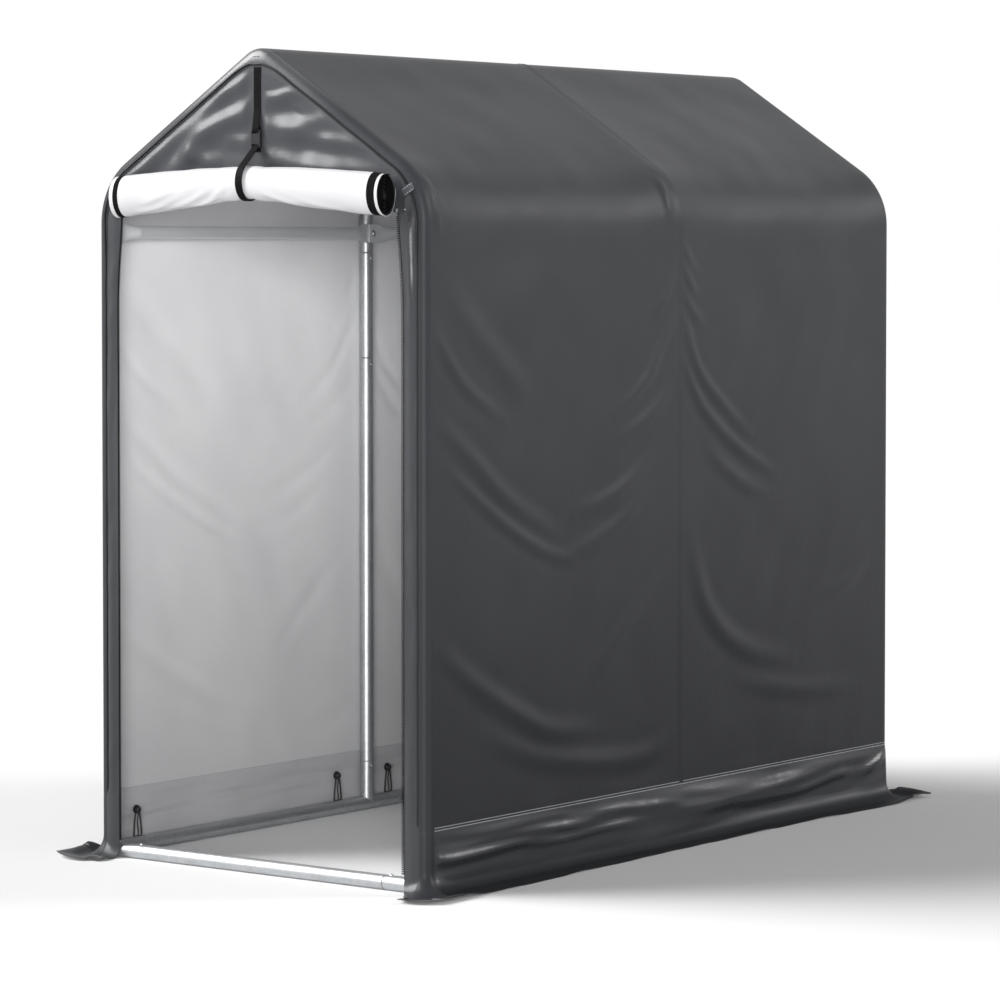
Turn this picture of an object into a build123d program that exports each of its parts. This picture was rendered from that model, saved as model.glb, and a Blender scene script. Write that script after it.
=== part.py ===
"""Fabric bike shelter: three hoops of steel tube on a ground frame, under a sewn cover.

Millimetres. The origin is on the ground at the middle of the plan, +Z is up, the doorway
faces -Y, and +X is on the right of someone who looks in at it.
"""

import os
from math import acos, atan2, cos, degrees, hypot, pi, radians, tan

from build123d import *

os.makedirs("parts", exist_ok=True)

# Cover, measured on its outside
shelter_width = 1000
shelter_length = 2000
eave_corner_height = 1622
roof_pitch = 33
eave_bend_radius = 175
ridge_bend_radius = 70
cover_thickness = 2.5
seam_behind_middle = 30

# Frame tubes and the slip joints between them
tube_radius = 17.5
tube_wall = 1.5
slip_gap = 0.25
spigot_length = 50
shoulder_length = 4
lower_joint_height = 1184
elbow_arm = 69
elbow_straight = 8
apex_arm = 80
fitting_reach = 112

# Eave rails, pressed flat at their ends and bolted to the inside of the legs
rail_radius = 16
rail_above_joint = 48
flat_thickness = 3
flat_width = 48
flat_overhang = 15
flat_run = 26
taper_run = 46

# Skirt and ground flap
skirt_height = 147
flap_reach = 95
flap_bend_radius = 35

# Front face: doorway, gable panel and rolled door
jamb_width = 56
zip_width = 10
zip_thickness = 2
gable_foot_above_eave = 8
wrap_return = 24
piping_radius = 2
roll_radius = 48
roll_core_radius = 9
roll_end_gap = 14
roll_drop = 22
roll_layers = 5

# Webbing strap and its side-release buckle
strap_x = 5
strap_width = 20
strap_thickness = 1.5
strap_top_below_ridge = 45
buckle_width = 27
buckle_thickness = 8
buckle_above_roll = 45
socket_height = 26
clip_height = 15
buckle_gap = 0.4
buckle_bar_radius = 1.5
buckle_bar_inset = 2.5
buckle_lug_width = 2.75
buckle_lug_length = 9
buckle_wall = 1.7
socket_cavity_depth = 15
window_from_foot = 5
guide_width = 4
arm_width = 3.4
barb_height = 3.4
prong_gap = 0.5
strap_tail = 12
strap_straight_above_buckle = 6
strap_bend_above_buckle = 48

# Small sewn parts
keeper_length = 22
keeper_width = 13
keeper_angle = 30
eyelet_radius = 11
eyelet_hole_radius = 5
eyelet_thickness = 2.5
eyelet_height = 98
eyelet_before_joint = 7
elastic_thickness = 4
elastic_foot_width = 32
elastic_bend_radius = 5

# Clearance between pieces that rest on each other, and how far a cutting shape overshoots
seat_gap = 0.3
cut_margin = 1

# Places that follow from the sizes above
pitch = radians(roof_pitch)
eave_turn = pi / 2 - pitch
half_width = shelter_width / 2
half_length = shelter_length / 2
jamb_inner_x = half_width - jamb_width
doorway_half_width = jamb_inner_x - zip_width
gable_foot_height = eave_corner_height + gable_foot_above_eave
roll_height = gable_foot_height - roll_drop
roll_half_length = doorway_half_width - roll_end_gap
rib_inset = cover_thickness + seat_gap + tube_radius
leg_x = half_width - rib_inset
end_rib_y = half_length - rib_inset
ground_z = tube_radius
corner_joint = ground_z + fitting_reach
bore_radius = tube_radius - tube_wall
spigot_radius = bore_radius - slip_gap
rib_y = {"front": -end_rib_y, "middle": 0, "rear": end_rib_y}


def corner_height(inset):
    """Height where the wall and roof lines cross, on the outline moved inwards by inset."""
    return eave_corner_height - inset * tan(eave_turn / 2)


def peak_height(inset):
    """Height where the two roof lines cross, on the outline moved inwards by inset."""
    return corner_height(inset) + (half_width - inset) * tan(pitch)


def crown_height(inset):
    """Top of the rounded ridge, on the outline moved inwards by inset."""
    return peak_height(inset) - (ridge_bend_radius - inset) * (1 / cos(pitch) - 1)


def hoop(inset, foot):
    """Wall, eave bend, roof, ridge bend, roof, eave bend and wall, drawn inside a BuildLine."""
    side = half_width - inset
    eave = eave_bend_radius - inset
    return FilletPolyline(
        (-side, foot),
        (-side, corner_height(inset)),
        (0, peak_height(inset)),
        (side, corner_height(inset)),
        (side, foot),
        radius=[eave, ridge_bend_radius - inset, eave],
    )


def arch(inset, y, foot=0):
    """Face inside the hoop, standing at y and facing the front."""
    with BuildSketch(Plane.XZ.offset(-y)) as face:
        with BuildLine():
            outline = hoop(inset, foot)
            Line(outline @ 1, outline @ 0)
        make_face()
    return face.sketch


def keep(piece, name):
    """Label a finished piece and write it."""
    piece.part.label = name
    export_step(piece.part, f"parts/{name}.step")


# Tubes. Each run is named by its joint planes. A run with a spigot stops a shoulder short
# of that joint, narrows, and goes on into the next tube.


def run_outline(length, spigots, thinner_by):
    """Half section of a run as (distance along it, radius) points, from start to end."""
    wide = tube_radius - thinner_by
    narrow = spigot_radius - thinner_by
    points = [(0, wide)]
    if "start" in spigots:
        points = [(-spigot_length, narrow), (0, narrow), (shoulder_length, wide)]
    if "end" in spigots:
        points += [(length - shoulder_length, wide), (length, narrow), (length + spigot_length, narrow)]
    else:
        points += [(length, wide)]
    return points


def rod(start, end, spigots=(), thinner_by=0, mode=Mode.ADD):
    """Solid of revolution between two joint planes."""
    first = Vector(*start)
    span = Vector(*end) - first
    across = Vector(0, 0, 1) if abs(span.Y) > span.length / 2 else Vector(0, 1, 0)
    section_plane = Plane(origin=first, x_dir=span, z_dir=across)
    points = run_outline(span.length, spigots, thinner_by)
    with BuildSketch(section_plane) as section:
        with BuildLine():
            Polyline((points[0][0], 0), *points, (points[-1][0], 0), close=True)
        make_face()
    revolve(section.sketch, axis=Axis(first, span), mode=mode)


def tube(start, end, spigots=()):
    """Hollow straight tube between two joint planes."""
    rod(start, end, spigots)
    rod(start, end, spigots, thinner_by=tube_wall, mode=Mode.SUBTRACT)


def bent_rod(start, corner, end, bend_radius, thinner_by=0, mode=Mode.ADD):
    """Straight, tangent bend and straight, with a round section."""
    with BuildLine() as path:
        FilletPolyline(start, corner, end, radius=bend_radius)
    with BuildSketch(Plane(origin=path.line @ 0, z_dir=path.line % 0)) as section:
        Circle(tube_radius - thinner_by)
    sweep(section.sketch, path=path.line, mode=mode)


def toward(start, end, distance):
    """Point at a distance from start on the way to end."""
    first = Vector(*start)
    return first + (Vector(*end) - first).normalized() * distance


def elbow(start, corner, end, bend_radius, spigots):
    """Solid part of an elbow, then its bore. An arm with a spigot ends in a straight run."""
    for thinner_by, mode in ((0, Mode.ADD), (tube_wall, Mode.SUBTRACT)):
        bend_start = toward(start, corner, elbow_straight) if "start" in spigots else start
        bend_end = toward(end, corner, elbow_straight) if "end" in spigots else end
        bent_rod(bend_start, corner, bend_end, bend_radius, thinner_by, mode)
        if "start" in spigots:
            rod(start, bend_start, ("start",), thinner_by, mode)
        if "end" in spigots:
            rod(end, bend_end, ("start",), thinner_by, mode)


# Centre line of a hoop, with its joints
tube_corner = corner_height(rib_inset)
tube_peak = peak_height(rib_inset)
tube_crown = crown_height(rib_inset)
eave_tangent = (eave_bend_radius - rib_inset) * tan(eave_turn / 2)
ridge_tangent = (ridge_bend_radius - rib_inset) * tan(pitch)
upper_joint_height = tube_corner - eave_tangent - elbow_arm
ridge_rail_start = tube_radius + seat_gap


def eave_point(side, y):
    """Point where a leg's line and its rafter's line cross."""
    return (side * leg_x, y, tube_corner)


def rafter_foot(side, y):
    """Joint between an eave elbow and its rafter."""
    along = eave_tangent + elbow_arm
    return (side * (leg_x - along * cos(pitch)), y, tube_corner + along * cos(pitch) * tan(pitch))


def rafter_head(side, y):
    """Joint between a rafter and the apex elbow."""
    across = (ridge_tangent + apex_arm) * cos(pitch)
    return (side * across, y, tube_peak - across * tan(pitch))


for rib_name, y in rib_y.items():
    with BuildPart() as lower_legs:
        for side in (-1, 1):
            tube((side * leg_x, y, corner_joint), (side * leg_x, y, lower_joint_height), ("end",))
    keep(lower_legs, f"{rib_name}_lower_legs")

    with BuildPart() as upper_legs:
        for side in (-1, 1):
            foot = (side * leg_x, y, lower_joint_height)
            tube(foot, (side * leg_x, y, upper_joint_height), ("end",))
    keep(upper_legs, f"{rib_name}_upper_legs")

    with BuildPart() as eave_elbows:
        for side in (-1, 1):
            elbow(
                (side * leg_x, y, upper_joint_height),
                eave_point(side, y),
                rafter_foot(side, y),
                eave_bend_radius - rib_inset,
                ("end",),
            )
    keep(eave_elbows, f"{rib_name}_eave_elbows")

    with BuildPart() as rafters:
        for side in (-1, 1):
            tube(rafter_foot(side, y), rafter_head(side, y))
    keep(rafters, f"{rib_name}_rafters")

    # The apex elbow carries a welded pin for each ridge rail that slides onto it.
    pin_ends = [y + way * (ridge_rail_start + spigot_length) for way in (-1, 1) if abs(y + way) < end_rib_y]
    with BuildPart() as apex_elbow:
        elbow(
            rafter_head(-1, y),
            (0, y, tube_peak),
            rafter_head(1, y),
            ridge_bend_radius - rib_inset,
            ("start", "end"),
        )
        pin_inset = tube_radius - spigot_radius
        for thinner_by, mode in ((pin_inset, Mode.ADD), (pin_inset + tube_wall, Mode.SUBTRACT)):
            for pin_end in pin_ends:
                rod((0, pin_end, tube_crown), (0, y, tube_crown), (), thinner_by, mode)
    keep(apex_elbow, f"{rib_name}_apex_elbow")

# Ground frame: a three-way fitting at each corner, a tee under each middle leg, and the
# bars and rails between them, all lying on the ground.

with BuildPart() as ground_corner_fittings:
    for side in (-1, 1):
        for end in (-1, 1):
            centre = (side * leg_x, end * end_rib_y, ground_z)
            arms = [
                (side * (leg_x - fitting_reach), end * end_rib_y, ground_z),
                (side * leg_x, end * (end_rib_y - fitting_reach), ground_z),
                (side * leg_x, end * end_rib_y, corner_joint),
            ]
            for thinner_by, mode in ((0, Mode.ADD), (tube_wall, Mode.SUBTRACT)):
                with Locations(centre):
                    Sphere(tube_radius - thinner_by, mode=mode)
                for arm in arms:
                    rod(arm, centre, ("start",), thinner_by, mode)
keep(ground_corner_fittings, "ground_corner_fittings")

with BuildPart() as ground_tees:
    for side in (-1, 1):
        for thinner_by, mode in ((0, Mode.ADD), (tube_wall, Mode.SUBTRACT)):
            front_arm = (side * leg_x, -fitting_reach, ground_z)
            rear_arm = (side * leg_x, fitting_reach, ground_z)
            rod(front_arm, rear_arm, ("start", "end"), thinner_by, mode)
            rod((side * leg_x, 0, corner_joint), (side * leg_x, 0, ground_z), ("start",), thinner_by, mode)
keep(ground_tees, "ground_tees")

for end_name, end in (("front", -1), ("rear", 1)):
    with BuildPart() as ground_bar:
        bar_end = leg_x - fitting_reach
        tube((-bar_end, end * end_rib_y, ground_z), (bar_end, end * end_rib_y, ground_z))
    keep(ground_bar, f"{end_name}_ground_bar")

    with BuildPart() as ground_rails:
        for side in (-1, 1):
            inner_end = (side * leg_x, end * fitting_reach, ground_z)
            outer_end = (side * leg_x, end * (end_rib_y - fitting_reach), ground_z)
            tube(inner_end, outer_end)
    keep(ground_rails, f"{end_name}_ground_rails")

    with BuildPart() as ridge_rail:
        inner_end = (0, end * ridge_rail_start, tube_crown)
        outer_end = (0, end * (end_rib_y - ridge_rail_start), tube_crown)
        tube(inner_end, outer_end)
    keep(ridge_rail, f"{end_name}_ridge_rail")

# Eave rails. At the middle legs the rear rail's flat is stepped, so that it lies on the
# front rail's flat and one bolt holds both.
rail_height = upper_joint_height + rail_above_joint
rail_x = leg_x - tube_radius - seat_gap - flat_thickness / 2
flat_step = flat_thickness + seat_gap


def flat_end(side, bolt_y, way, step):
    """Pressed end of an eave rail: the flat lug at a leg and the taper to the round tube."""
    lug_x = side * (rail_x - step)
    lug_run = flat_overhang + flat_run
    lug_tip = (lug_x, bolt_y - way * flat_overhang, rail_height)
    lug_end = Plane(origin=lug_tip, x_dir=(0, 0, 1), z_dir=(0, way, 0))
    with BuildSketch(lug_end) as lug:
        SlotOverall(flat_width, flat_thickness)
    extrude(lug.sketch, amount=lug_run)
    round_plane = Plane(
        origin=(side * rail_x, bolt_y + way * (flat_run + taper_run), rail_height),
        x_dir=(0, 0, 1),
        z_dir=(0, way, 0),
    )
    with BuildSketch(lug_end.offset(lug_run)) as pressed:
        SlotOverall(flat_width, flat_thickness)
    with BuildSketch(round_plane) as full:
        Circle(rail_radius)
    loft([pressed.sketch, full.sketch])


for end_name, end in (("front", -1), ("rear", 1)):
    with BuildPart() as eave_rails:
        for side in (-1, 1):
            flat_end(side, 0, end, flat_step if end > 0 else 0)
            flat_end(side, end * end_rib_y, -end, 0)
            round_start = flat_run + taper_run
            round_plane = Plane(
                origin=(side * rail_x, end * round_start, rail_height),
                x_dir=(0, 0, 1),
                z_dir=(0, end, 0),
            )
            with BuildSketch(round_plane) as full:
                Circle(rail_radius)
            extrude(full.sketch, amount=end_rib_y - 2 * round_start)
    keep(eave_rails, f"{end_name}_eave_rails")

# Cover. Two bays are sewn together a little behind the middle hoop. Each is one sheet over
# walls and roof, turned round its end hoop, and stops at the skirt's seam.


def rounded_arch(inset, length):
    """Solid inside the cover from the front to length, with its front edge turned."""
    with BuildPart() as body:
        extrude(arch(inset, length - half_length), amount=length - inset)
        front = body.faces().sort_by(Axis.Y)[0]
        turned = front.edges().filter_by(lambda edge: edge.center().Z > tube_radius)
        fillet(turned, rib_inset - inset)
    return body.part


def bay(length):
    """Sheet of one bay, drawn at the front: walls and roof, and the turned edge of its hoop."""
    wrap_end = rib_inset - half_length
    with BuildPart() as sheet:
        add(rounded_arch(0, length))
        add(rounded_arch(cover_thickness, length + cut_margin), mode=Mode.SUBTRACT)
        extrude(arch(wrap_return, wrap_end), amount=2 * rib_inset, mode=Mode.SUBTRACT)
        with Locations((0, wrap_end, 0)):
            Box(
                shelter_width + 2 * cut_margin,
                length,
                skirt_height,
                align=(Align.CENTER, Align.MIN, Align.MIN),
                mode=Mode.SUBTRACT,
            )
    return sheet.part


with BuildPart() as cover_front_bay:
    add(bay(half_length + seam_behind_middle))
keep(cover_front_bay, "cover_front_bay")

with BuildPart() as cover_rear_bay:
    mirror(bay(half_length - seam_behind_middle), about=Plane.XZ)
keep(cover_rear_bay, "cover_rear_bay")

# Skirts. Each hangs from its seam, bends outwards near the ground and lies on it.


def flared_sheet(base, length):
    """Skirt sheet. Along the base plane, x points outwards and y points up."""
    with BuildSketch(base) as profile:
        with BuildLine():
            FilletPolyline(
                (-cover_thickness / 2, skirt_height),
                (-cover_thickness / 2, cover_thickness / 2),
                (flap_reach, cover_thickness / 2),
                radius=flap_bend_radius,
            )
        trace(line_width=cover_thickness)
    extrude(profile.sketch, amount=length)


wall_end = end_rib_y
flap_edge = half_length + flap_reach
panel_half_width = half_width - wrap_return
flap_start = flap_bend_radius + cover_thickness

for side_name, side in (("left", -1), ("right", 1)):
    with BuildPart() as side_skirt:
        base = Plane(origin=(side * half_width, side * wall_end, 0), x_dir=(side, 0, 0), z_dir=(0, -side, 0))
        flared_sheet(base, 2 * wall_end)
        for end in (-1, 1):
            with Locations((side * (half_width + flap_reach / 2), end * (flap_edge + wall_end) / 2, 0)):
                Box(
                    flap_reach,
                    flap_edge - wall_end,
                    cover_thickness,
                    align=(Align.CENTER, Align.CENTER, Align.MIN),
                )
    keep(side_skirt, f"{side_name}_skirt")

with BuildPart() as rear_skirt:
    base = Plane(origin=(-panel_half_width, half_length, 0), x_dir=(0, 1, 0), z_dir=(1, 0, 0))
    flared_sheet(base, 2 * panel_half_width)
    with Locations((0, flap_edge, 0)):
        Box(
            shelter_width,
            flap_reach - flap_start,
            cover_thickness,
            align=(Align.CENTER, Align.MAX, Align.MIN),
        )
keep(rear_skirt, "rear_skirt")

# Panels inside the turned edges: the closed rear, the gable over the doorway and the jambs.

with BuildPart() as rear_panel:
    extrude(arch(wrap_return, half_length, skirt_height), amount=cover_thickness)
keep(rear_panel, "rear_panel")

with BuildPart() as front_gable_panel:
    extrude(arch(wrap_return, cover_thickness - half_length), amount=cover_thickness)
    with Locations((0, -half_length, 0)):
        Box(
            shelter_width,
            2 * cover_thickness,
            gable_foot_height,
            align=(Align.CENTER, Align.CENTER, Align.MIN),
            mode=Mode.SUBTRACT,
        )
keep(front_gable_panel, "front_gable_panel")

for side_name, side in (("left", -1), ("right", 1)):
    with BuildPart() as jamb:
        extrude(arch(wrap_return, cover_thickness - half_length), amount=cover_thickness)
        with Locations((side * (jamb_inner_x + half_width) / 2, -half_length, skirt_height)):
            Box(
                jamb_width,
                2 * cover_thickness,
                gable_foot_height - skirt_height,
                align=(Align.CENTER, Align.CENTER, Align.MIN),
                mode=Mode.INTERSECT,
            )
        outer_end = panel_half_width if side > 0 else -jamb_inner_x
        base = Plane(origin=(outer_end, -half_length, 0), x_dir=(0, -1, 0), z_dir=(-1, 0, 0))
        flared_sheet(base, panel_half_width - jamb_inner_x)
        with Locations((side * (jamb_inner_x + half_width) / 2, -flap_edge, 0)):
            Box(
                jamb_width,
                flap_reach - flap_start,
                cover_thickness,
                align=(Align.CENTER, Align.MIN, Align.MIN),
            )
    keep(jamb, f"front_{side_name}_jamb")

with BuildPart() as door_zips:
    zip_x = doorway_half_width + zip_width / 2
    for side in (-1, 1):
        with Locations((side * zip_x, -half_length + cover_thickness / 2, flap_start)):
            Box(
                zip_width,
                zip_thickness,
                roll_height - roll_radius - flap_start,
                align=(Align.CENTER, Align.CENTER, Align.MIN),
            )
keep(door_zips, "door_zips")

for end_name, end in (("front", -1), ("rear", 1)):
    with BuildPart() as piping:
        piping_y = end * (half_length + seat_gap + piping_radius)
        with BuildLine(Plane.XZ.offset(-piping_y)) as seam:
            hoop(wrap_return, flap_start)
        with BuildSketch(Plane(origin=seam.line @ 0, z_dir=seam.line % 0)) as cord:
            Circle(piping_radius)
        sweep(cord.sketch, path=seam.line)
    keep(piping, f"{end_name}_piping")

# Rolled door. The sheet hangs from the gable panel's lower edge and winds under, forwards
# and over, in half circles that shrink towards the core.
sheet_radius = roll_radius - cover_thickness / 2
layer_pitch = (sheet_radius - roll_core_radius) / roll_layers
roll_y = cover_thickness / 2 - half_length - sheet_radius

with BuildPart() as door_roll:
    with BuildSketch(Plane.YZ.offset(-roll_half_length)) as spiral:
        with BuildLine():
            Line((roll_y + sheet_radius, gable_foot_height), (roll_y + sheet_radius, roll_height))
            for half_turn in range(2 * roll_layers):
                forward = half_turn % 2
                CenterArc(
                    (roll_y - forward * layer_pitch / 2, roll_height),
                    sheet_radius - half_turn * layer_pitch / 2,
                    180 * forward,
                    -180,
                )
        trace(line_width=cover_thickness)
    extrude(amount=2 * roll_half_length)
keep(door_roll, "door_roll")

# Strap. The outer length hangs from the gable's peak to the buckle. The inner length comes
# down inside the gable, passes under the roll and rises in front of it to the buckle.
strap_loop_radius = roll_radius + seat_gap + strap_thickness / 2
strap_on_panel_y = -half_length - seat_gap - strap_thickness / 2
strap_turn_radius = buckle_bar_radius + seat_gap + strap_thickness / 2
buckle_y = -half_length - seat_gap - buckle_thickness / 2
strap_top_height = crown_height(0) - strap_top_below_ridge
buckle_foot_height = roll_height + roll_radius + buckle_above_roll
clip_top = buckle_foot_height + clip_height
socket_foot = clip_top + buckle_gap
buckle_top_height = socket_foot + socket_height
upper_bar_height = buckle_top_height - buckle_bar_inset
lower_bar_height = buckle_foot_height + buckle_bar_inset

with BuildPart() as roll_strap_upper:
    with BuildSketch(Plane.YZ.offset(strap_x - strap_width / 2)) as webbing:
        with BuildLine():
            Polyline(
                (strap_on_panel_y, strap_top_height),
                (strap_on_panel_y, buckle_top_height + strap_bend_above_buckle),
                (buckle_y - strap_turn_radius, buckle_top_height + strap_straight_above_buckle),
                (buckle_y - strap_turn_radius, upper_bar_height),
            )
            CenterArc((buckle_y, upper_bar_height), strap_turn_radius, 180, 180)
            Line(
                (buckle_y + strap_turn_radius, upper_bar_height),
                (buckle_y + strap_turn_radius, upper_bar_height + strap_tail),
            )
        trace(line_width=strap_thickness)
    extrude(amount=strap_width)
keep(roll_strap_upper, "roll_strap_upper")

front_web_y = buckle_y - strap_turn_radius
rise = lower_bar_height - roll_height
touch_angle = degrees(
    atan2(rise, front_web_y - roll_y) + acos(strap_loop_radius / hypot(rise, front_web_y - roll_y))
)

with BuildPart() as roll_strap_loop:
    with BuildSketch(Plane.YZ.offset(strap_x - strap_width / 2)) as webbing:
        with BuildLine():
            Line(
                (buckle_y + strap_turn_radius, lower_bar_height - strap_tail),
                (buckle_y + strap_turn_radius, lower_bar_height),
            )
            CenterArc((buckle_y, lower_bar_height), strap_turn_radius, 0, 180)
            around = CenterArc((roll_y, roll_height), strap_loop_radius, touch_angle, 360 - touch_angle)
            Line((front_web_y, lower_bar_height), around @ 0)
            Line(around @ 1, (roll_y + strap_loop_radius, strap_top_height))
        trace(line_width=strap_thickness)
    extrude(amount=strap_width)
keep(roll_strap_loop, "roll_strap_loop")

# Side-release buckle. The clip's two arms spring out into the socket's side windows.
buckle_plane = Plane.XZ.offset(-buckle_y)
cavity_half_width = buckle_width / 2 - buckle_lug_width
window_foot = socket_foot + window_from_foot
window_top = socket_foot + socket_cavity_depth - 2 * prong_gap
barb_reach = buckle_width / 2 - prong_gap
barb_foot = window_foot + prong_gap
arm_outer = cavity_half_width - prong_gap
arm_inner = arm_outer - arm_width

with BuildPart() as buckle_socket:
    with BuildSketch(buckle_plane) as shell:
        with Locations((strap_x, socket_foot)):
            Rectangle(buckle_width, socket_height, align=(Align.CENTER, Align.MIN))
        fillet(shell.vertices().group_by(Axis.Y)[-1], buckle_bar_inset)
        with Locations((strap_x, buckle_top_height)):
            Rectangle(
                buckle_width - 2 * buckle_lug_width,
                buckle_lug_length,
                align=(Align.CENTER, Align.MAX),
                mode=Mode.SUBTRACT,
            )
    extrude(shell.sketch, amount=buckle_thickness / 2, both=True)
    with BuildSketch(buckle_plane) as cavity:
        with Locations((strap_x, socket_foot)):
            Rectangle(2 * cavity_half_width, socket_cavity_depth, align=(Align.CENTER, Align.MIN))
        with Locations((strap_x, window_foot)):
            Rectangle(buckle_width, window_top - window_foot, align=(Align.CENTER, Align.MIN))
    extrude(cavity.sketch, amount=buckle_thickness / 2 - buckle_wall, both=True, mode=Mode.SUBTRACT)
    with Locations(Location((strap_x, buckle_y, upper_bar_height), (0, 90, 0))):
        Cylinder(buckle_bar_radius, buckle_width - 2 * buckle_bar_inset)
keep(buckle_socket, "buckle_socket")

with BuildPart() as buckle_clip:
    with BuildSketch(buckle_plane) as base_plate:
        with Locations((strap_x, clip_top)):
            Rectangle(buckle_width, clip_height, align=(Align.CENTER, Align.MAX))
        fillet(base_plate.vertices().group_by(Axis.Y)[0], buckle_bar_inset)
        with Locations((strap_x, buckle_foot_height)):
            Rectangle(
                buckle_width - 2 * buckle_lug_width,
                buckle_lug_length,
                align=(Align.CENTER, Align.MIN),
                mode=Mode.SUBTRACT,
            )
    extrude(base_plate.sketch, amount=buckle_thickness / 2, both=True)
    with BuildSketch(buckle_plane) as prongs:
        with Locations((strap_x, clip_top)):
            Rectangle(guide_width, window_top - clip_top, align=(Align.CENTER, Align.MIN))
        for side in (-1, 1):
            with BuildLine():
                Polyline(
                    (strap_x + side * arm_inner, clip_top),
                    (strap_x + side * arm_outer, clip_top),
                    (strap_x + side * arm_outer, barb_foot),
                    (strap_x + side * barb_reach, barb_foot),
                    (strap_x + side * barb_reach, barb_foot + barb_height),
                    (strap_x + side * arm_outer, window_top),
                    (strap_x + side * arm_inner, window_top),
                    close=True,
                )
            make_face()
    extrude(prongs.sketch, amount=buckle_thickness / 2 - buckle_wall - prong_gap, both=True)
    with Locations(Location((strap_x, buckle_y, lower_bar_height), (0, 90, 0))):
        Cylinder(buckle_bar_radius, buckle_width - 2 * buckle_bar_inset)
keep(buckle_clip, "buckle_clip")

# Keeper tab, sewn inside the piping at the bend over the right jamb and pointing to the
# centre of that bend.
bend_radius = eave_bend_radius - wrap_return
bend_centre_x = panel_half_width - bend_radius
bend_centre_height = corner_height(wrap_return) - bend_radius * tan(eave_turn / 2)
keeper_reach = bend_radius - piping_radius - seat_gap - keeper_length / 2

with BuildPart() as keeper_tab:
    with BuildSketch(Plane.XZ.offset(half_length + seat_gap)) as tab:
        with Locations((bend_centre_x, bend_centre_height)):
            with PolarLocations(keeper_reach, 1, start_angle=keeper_angle):
                Rectangle(keeper_length, keeper_width)
    extrude(tab.sketch, amount=strap_thickness)
keep(keeper_tab, "keeper_tab")

# Elastic loops beside each hoop, which pull the skirt down to the ground rails: an eyelet
# inside the wall and a loop from it to the top of the rail, at the joints of the fittings.
eyelet_x = half_width - cover_thickness - seat_gap
corner_eyelet_y = end_rib_y - fitting_reach + eyelet_before_joint
tee_eyelet_y = fitting_reach - eyelet_before_joint
eyelet_places = [-corner_eyelet_y, -tee_eyelet_y, tee_eyelet_y, corner_eyelet_y]
elastic_x = eyelet_x - eyelet_thickness - seat_gap
off_rail = elastic_x - elastic_thickness - leg_x
elastic_foot = ground_z + (tube_radius**2 - off_rail**2) ** 0.5 + seat_gap

with BuildPart() as skirt_eyelets:
    for side in (-1, 1):
        for y in eyelet_places:
            place = (side * eyelet_x, y, eyelet_height)
            with BuildSketch(Plane(origin=place, x_dir=(0, 1, 0), z_dir=(-side, 0, 0))) as ring:
                Circle(eyelet_radius)
                Circle(eyelet_hole_radius, mode=Mode.SUBTRACT)
            extrude(ring.sketch, amount=eyelet_thickness)
keep(skirt_eyelets, "skirt_eyelets")

with BuildPart() as skirt_elastics:
    for side in (-1, 1):
        for y in eyelet_places:
            place = (side * elastic_x, y, 0)
            with BuildSketch(Plane(origin=place, x_dir=(0, -side, 0), z_dir=(-side, 0, 0))) as loop:
                with BuildLine():
                    FilletPolyline(
                        (-elastic_foot_width / 2, elastic_foot),
                        (elastic_foot_width / 2, elastic_foot),
                        (0, eyelet_height + eyelet_radius),
                        radius=elastic_bend_radius,
                        close=True,
                    )
                make_face()
                offset(amount=-elastic_thickness, mode=Mode.SUBTRACT)
            extrude(loop.sketch, amount=elastic_thickness)
keep(skirt_elastics, "skirt_elastics")
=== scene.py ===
"""Fabric bike shelter: three hoops of galvanised tube under a sewn, coated cover.

Metres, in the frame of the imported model: +Z is up, the doorway faces -Y.
"""

import math

import bpy
import numpy as np
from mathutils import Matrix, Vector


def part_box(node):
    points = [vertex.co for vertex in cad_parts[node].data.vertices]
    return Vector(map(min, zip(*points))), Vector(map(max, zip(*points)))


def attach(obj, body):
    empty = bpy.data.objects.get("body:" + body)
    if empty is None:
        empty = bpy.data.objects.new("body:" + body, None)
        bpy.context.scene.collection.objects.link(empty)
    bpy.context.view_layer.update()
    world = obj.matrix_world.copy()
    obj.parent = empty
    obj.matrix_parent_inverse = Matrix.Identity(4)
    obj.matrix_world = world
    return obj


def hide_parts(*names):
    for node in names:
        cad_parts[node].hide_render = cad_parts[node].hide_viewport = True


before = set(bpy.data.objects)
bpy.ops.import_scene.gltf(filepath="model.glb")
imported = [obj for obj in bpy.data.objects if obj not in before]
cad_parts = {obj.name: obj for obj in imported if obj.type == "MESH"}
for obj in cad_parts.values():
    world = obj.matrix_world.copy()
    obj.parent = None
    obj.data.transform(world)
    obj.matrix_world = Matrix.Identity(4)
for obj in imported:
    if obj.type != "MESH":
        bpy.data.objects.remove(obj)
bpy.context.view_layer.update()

# Camera. A long lens in front of the right corner, a little below the eaves. It is held
# almost level, so that upright tubes stay upright in the picture.
CAMERA_PLACE = (5.956, -7.961, 1.472)
CAMERA_YAW = 37.0
CAMERA_TILT_DOWN = 2.24
CAMERA_LENS = 141.3
CAMERA_SHIFT = -0.1

scene = bpy.context.scene
camera = bpy.data.objects.new("camera", bpy.data.cameras.new("camera"))
scene.collection.objects.link(camera)
camera.location = CAMERA_PLACE
camera.rotation_euler = (math.radians(90 - CAMERA_TILT_DOWN), 0, math.radians(CAMERA_YAW))
camera.data.sensor_width = 36
camera.data.lens = CAMERA_LENS
camera.data.shift_y = CAMERA_SHIFT
camera.data.clip_end = 100
scene.camera = camera
scene.view_settings.view_transform = "Standard"

# Studio: a wide matt floor under an even white room. A large soft light stands high on the
# left of the doorway, and a low one beside the camera shines in through the doorway. Two
# weak ones, at the front left and the rear right, give the folds of the cloth their sheen.
FLOOR_HALF_WIDTH = 400
FLOOR_COLOUR = "#dcdcdc"
FLOOR_SHOWN_COLOUR = "#eeeeee"
ROOM_LIGHT = 0.25


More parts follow.
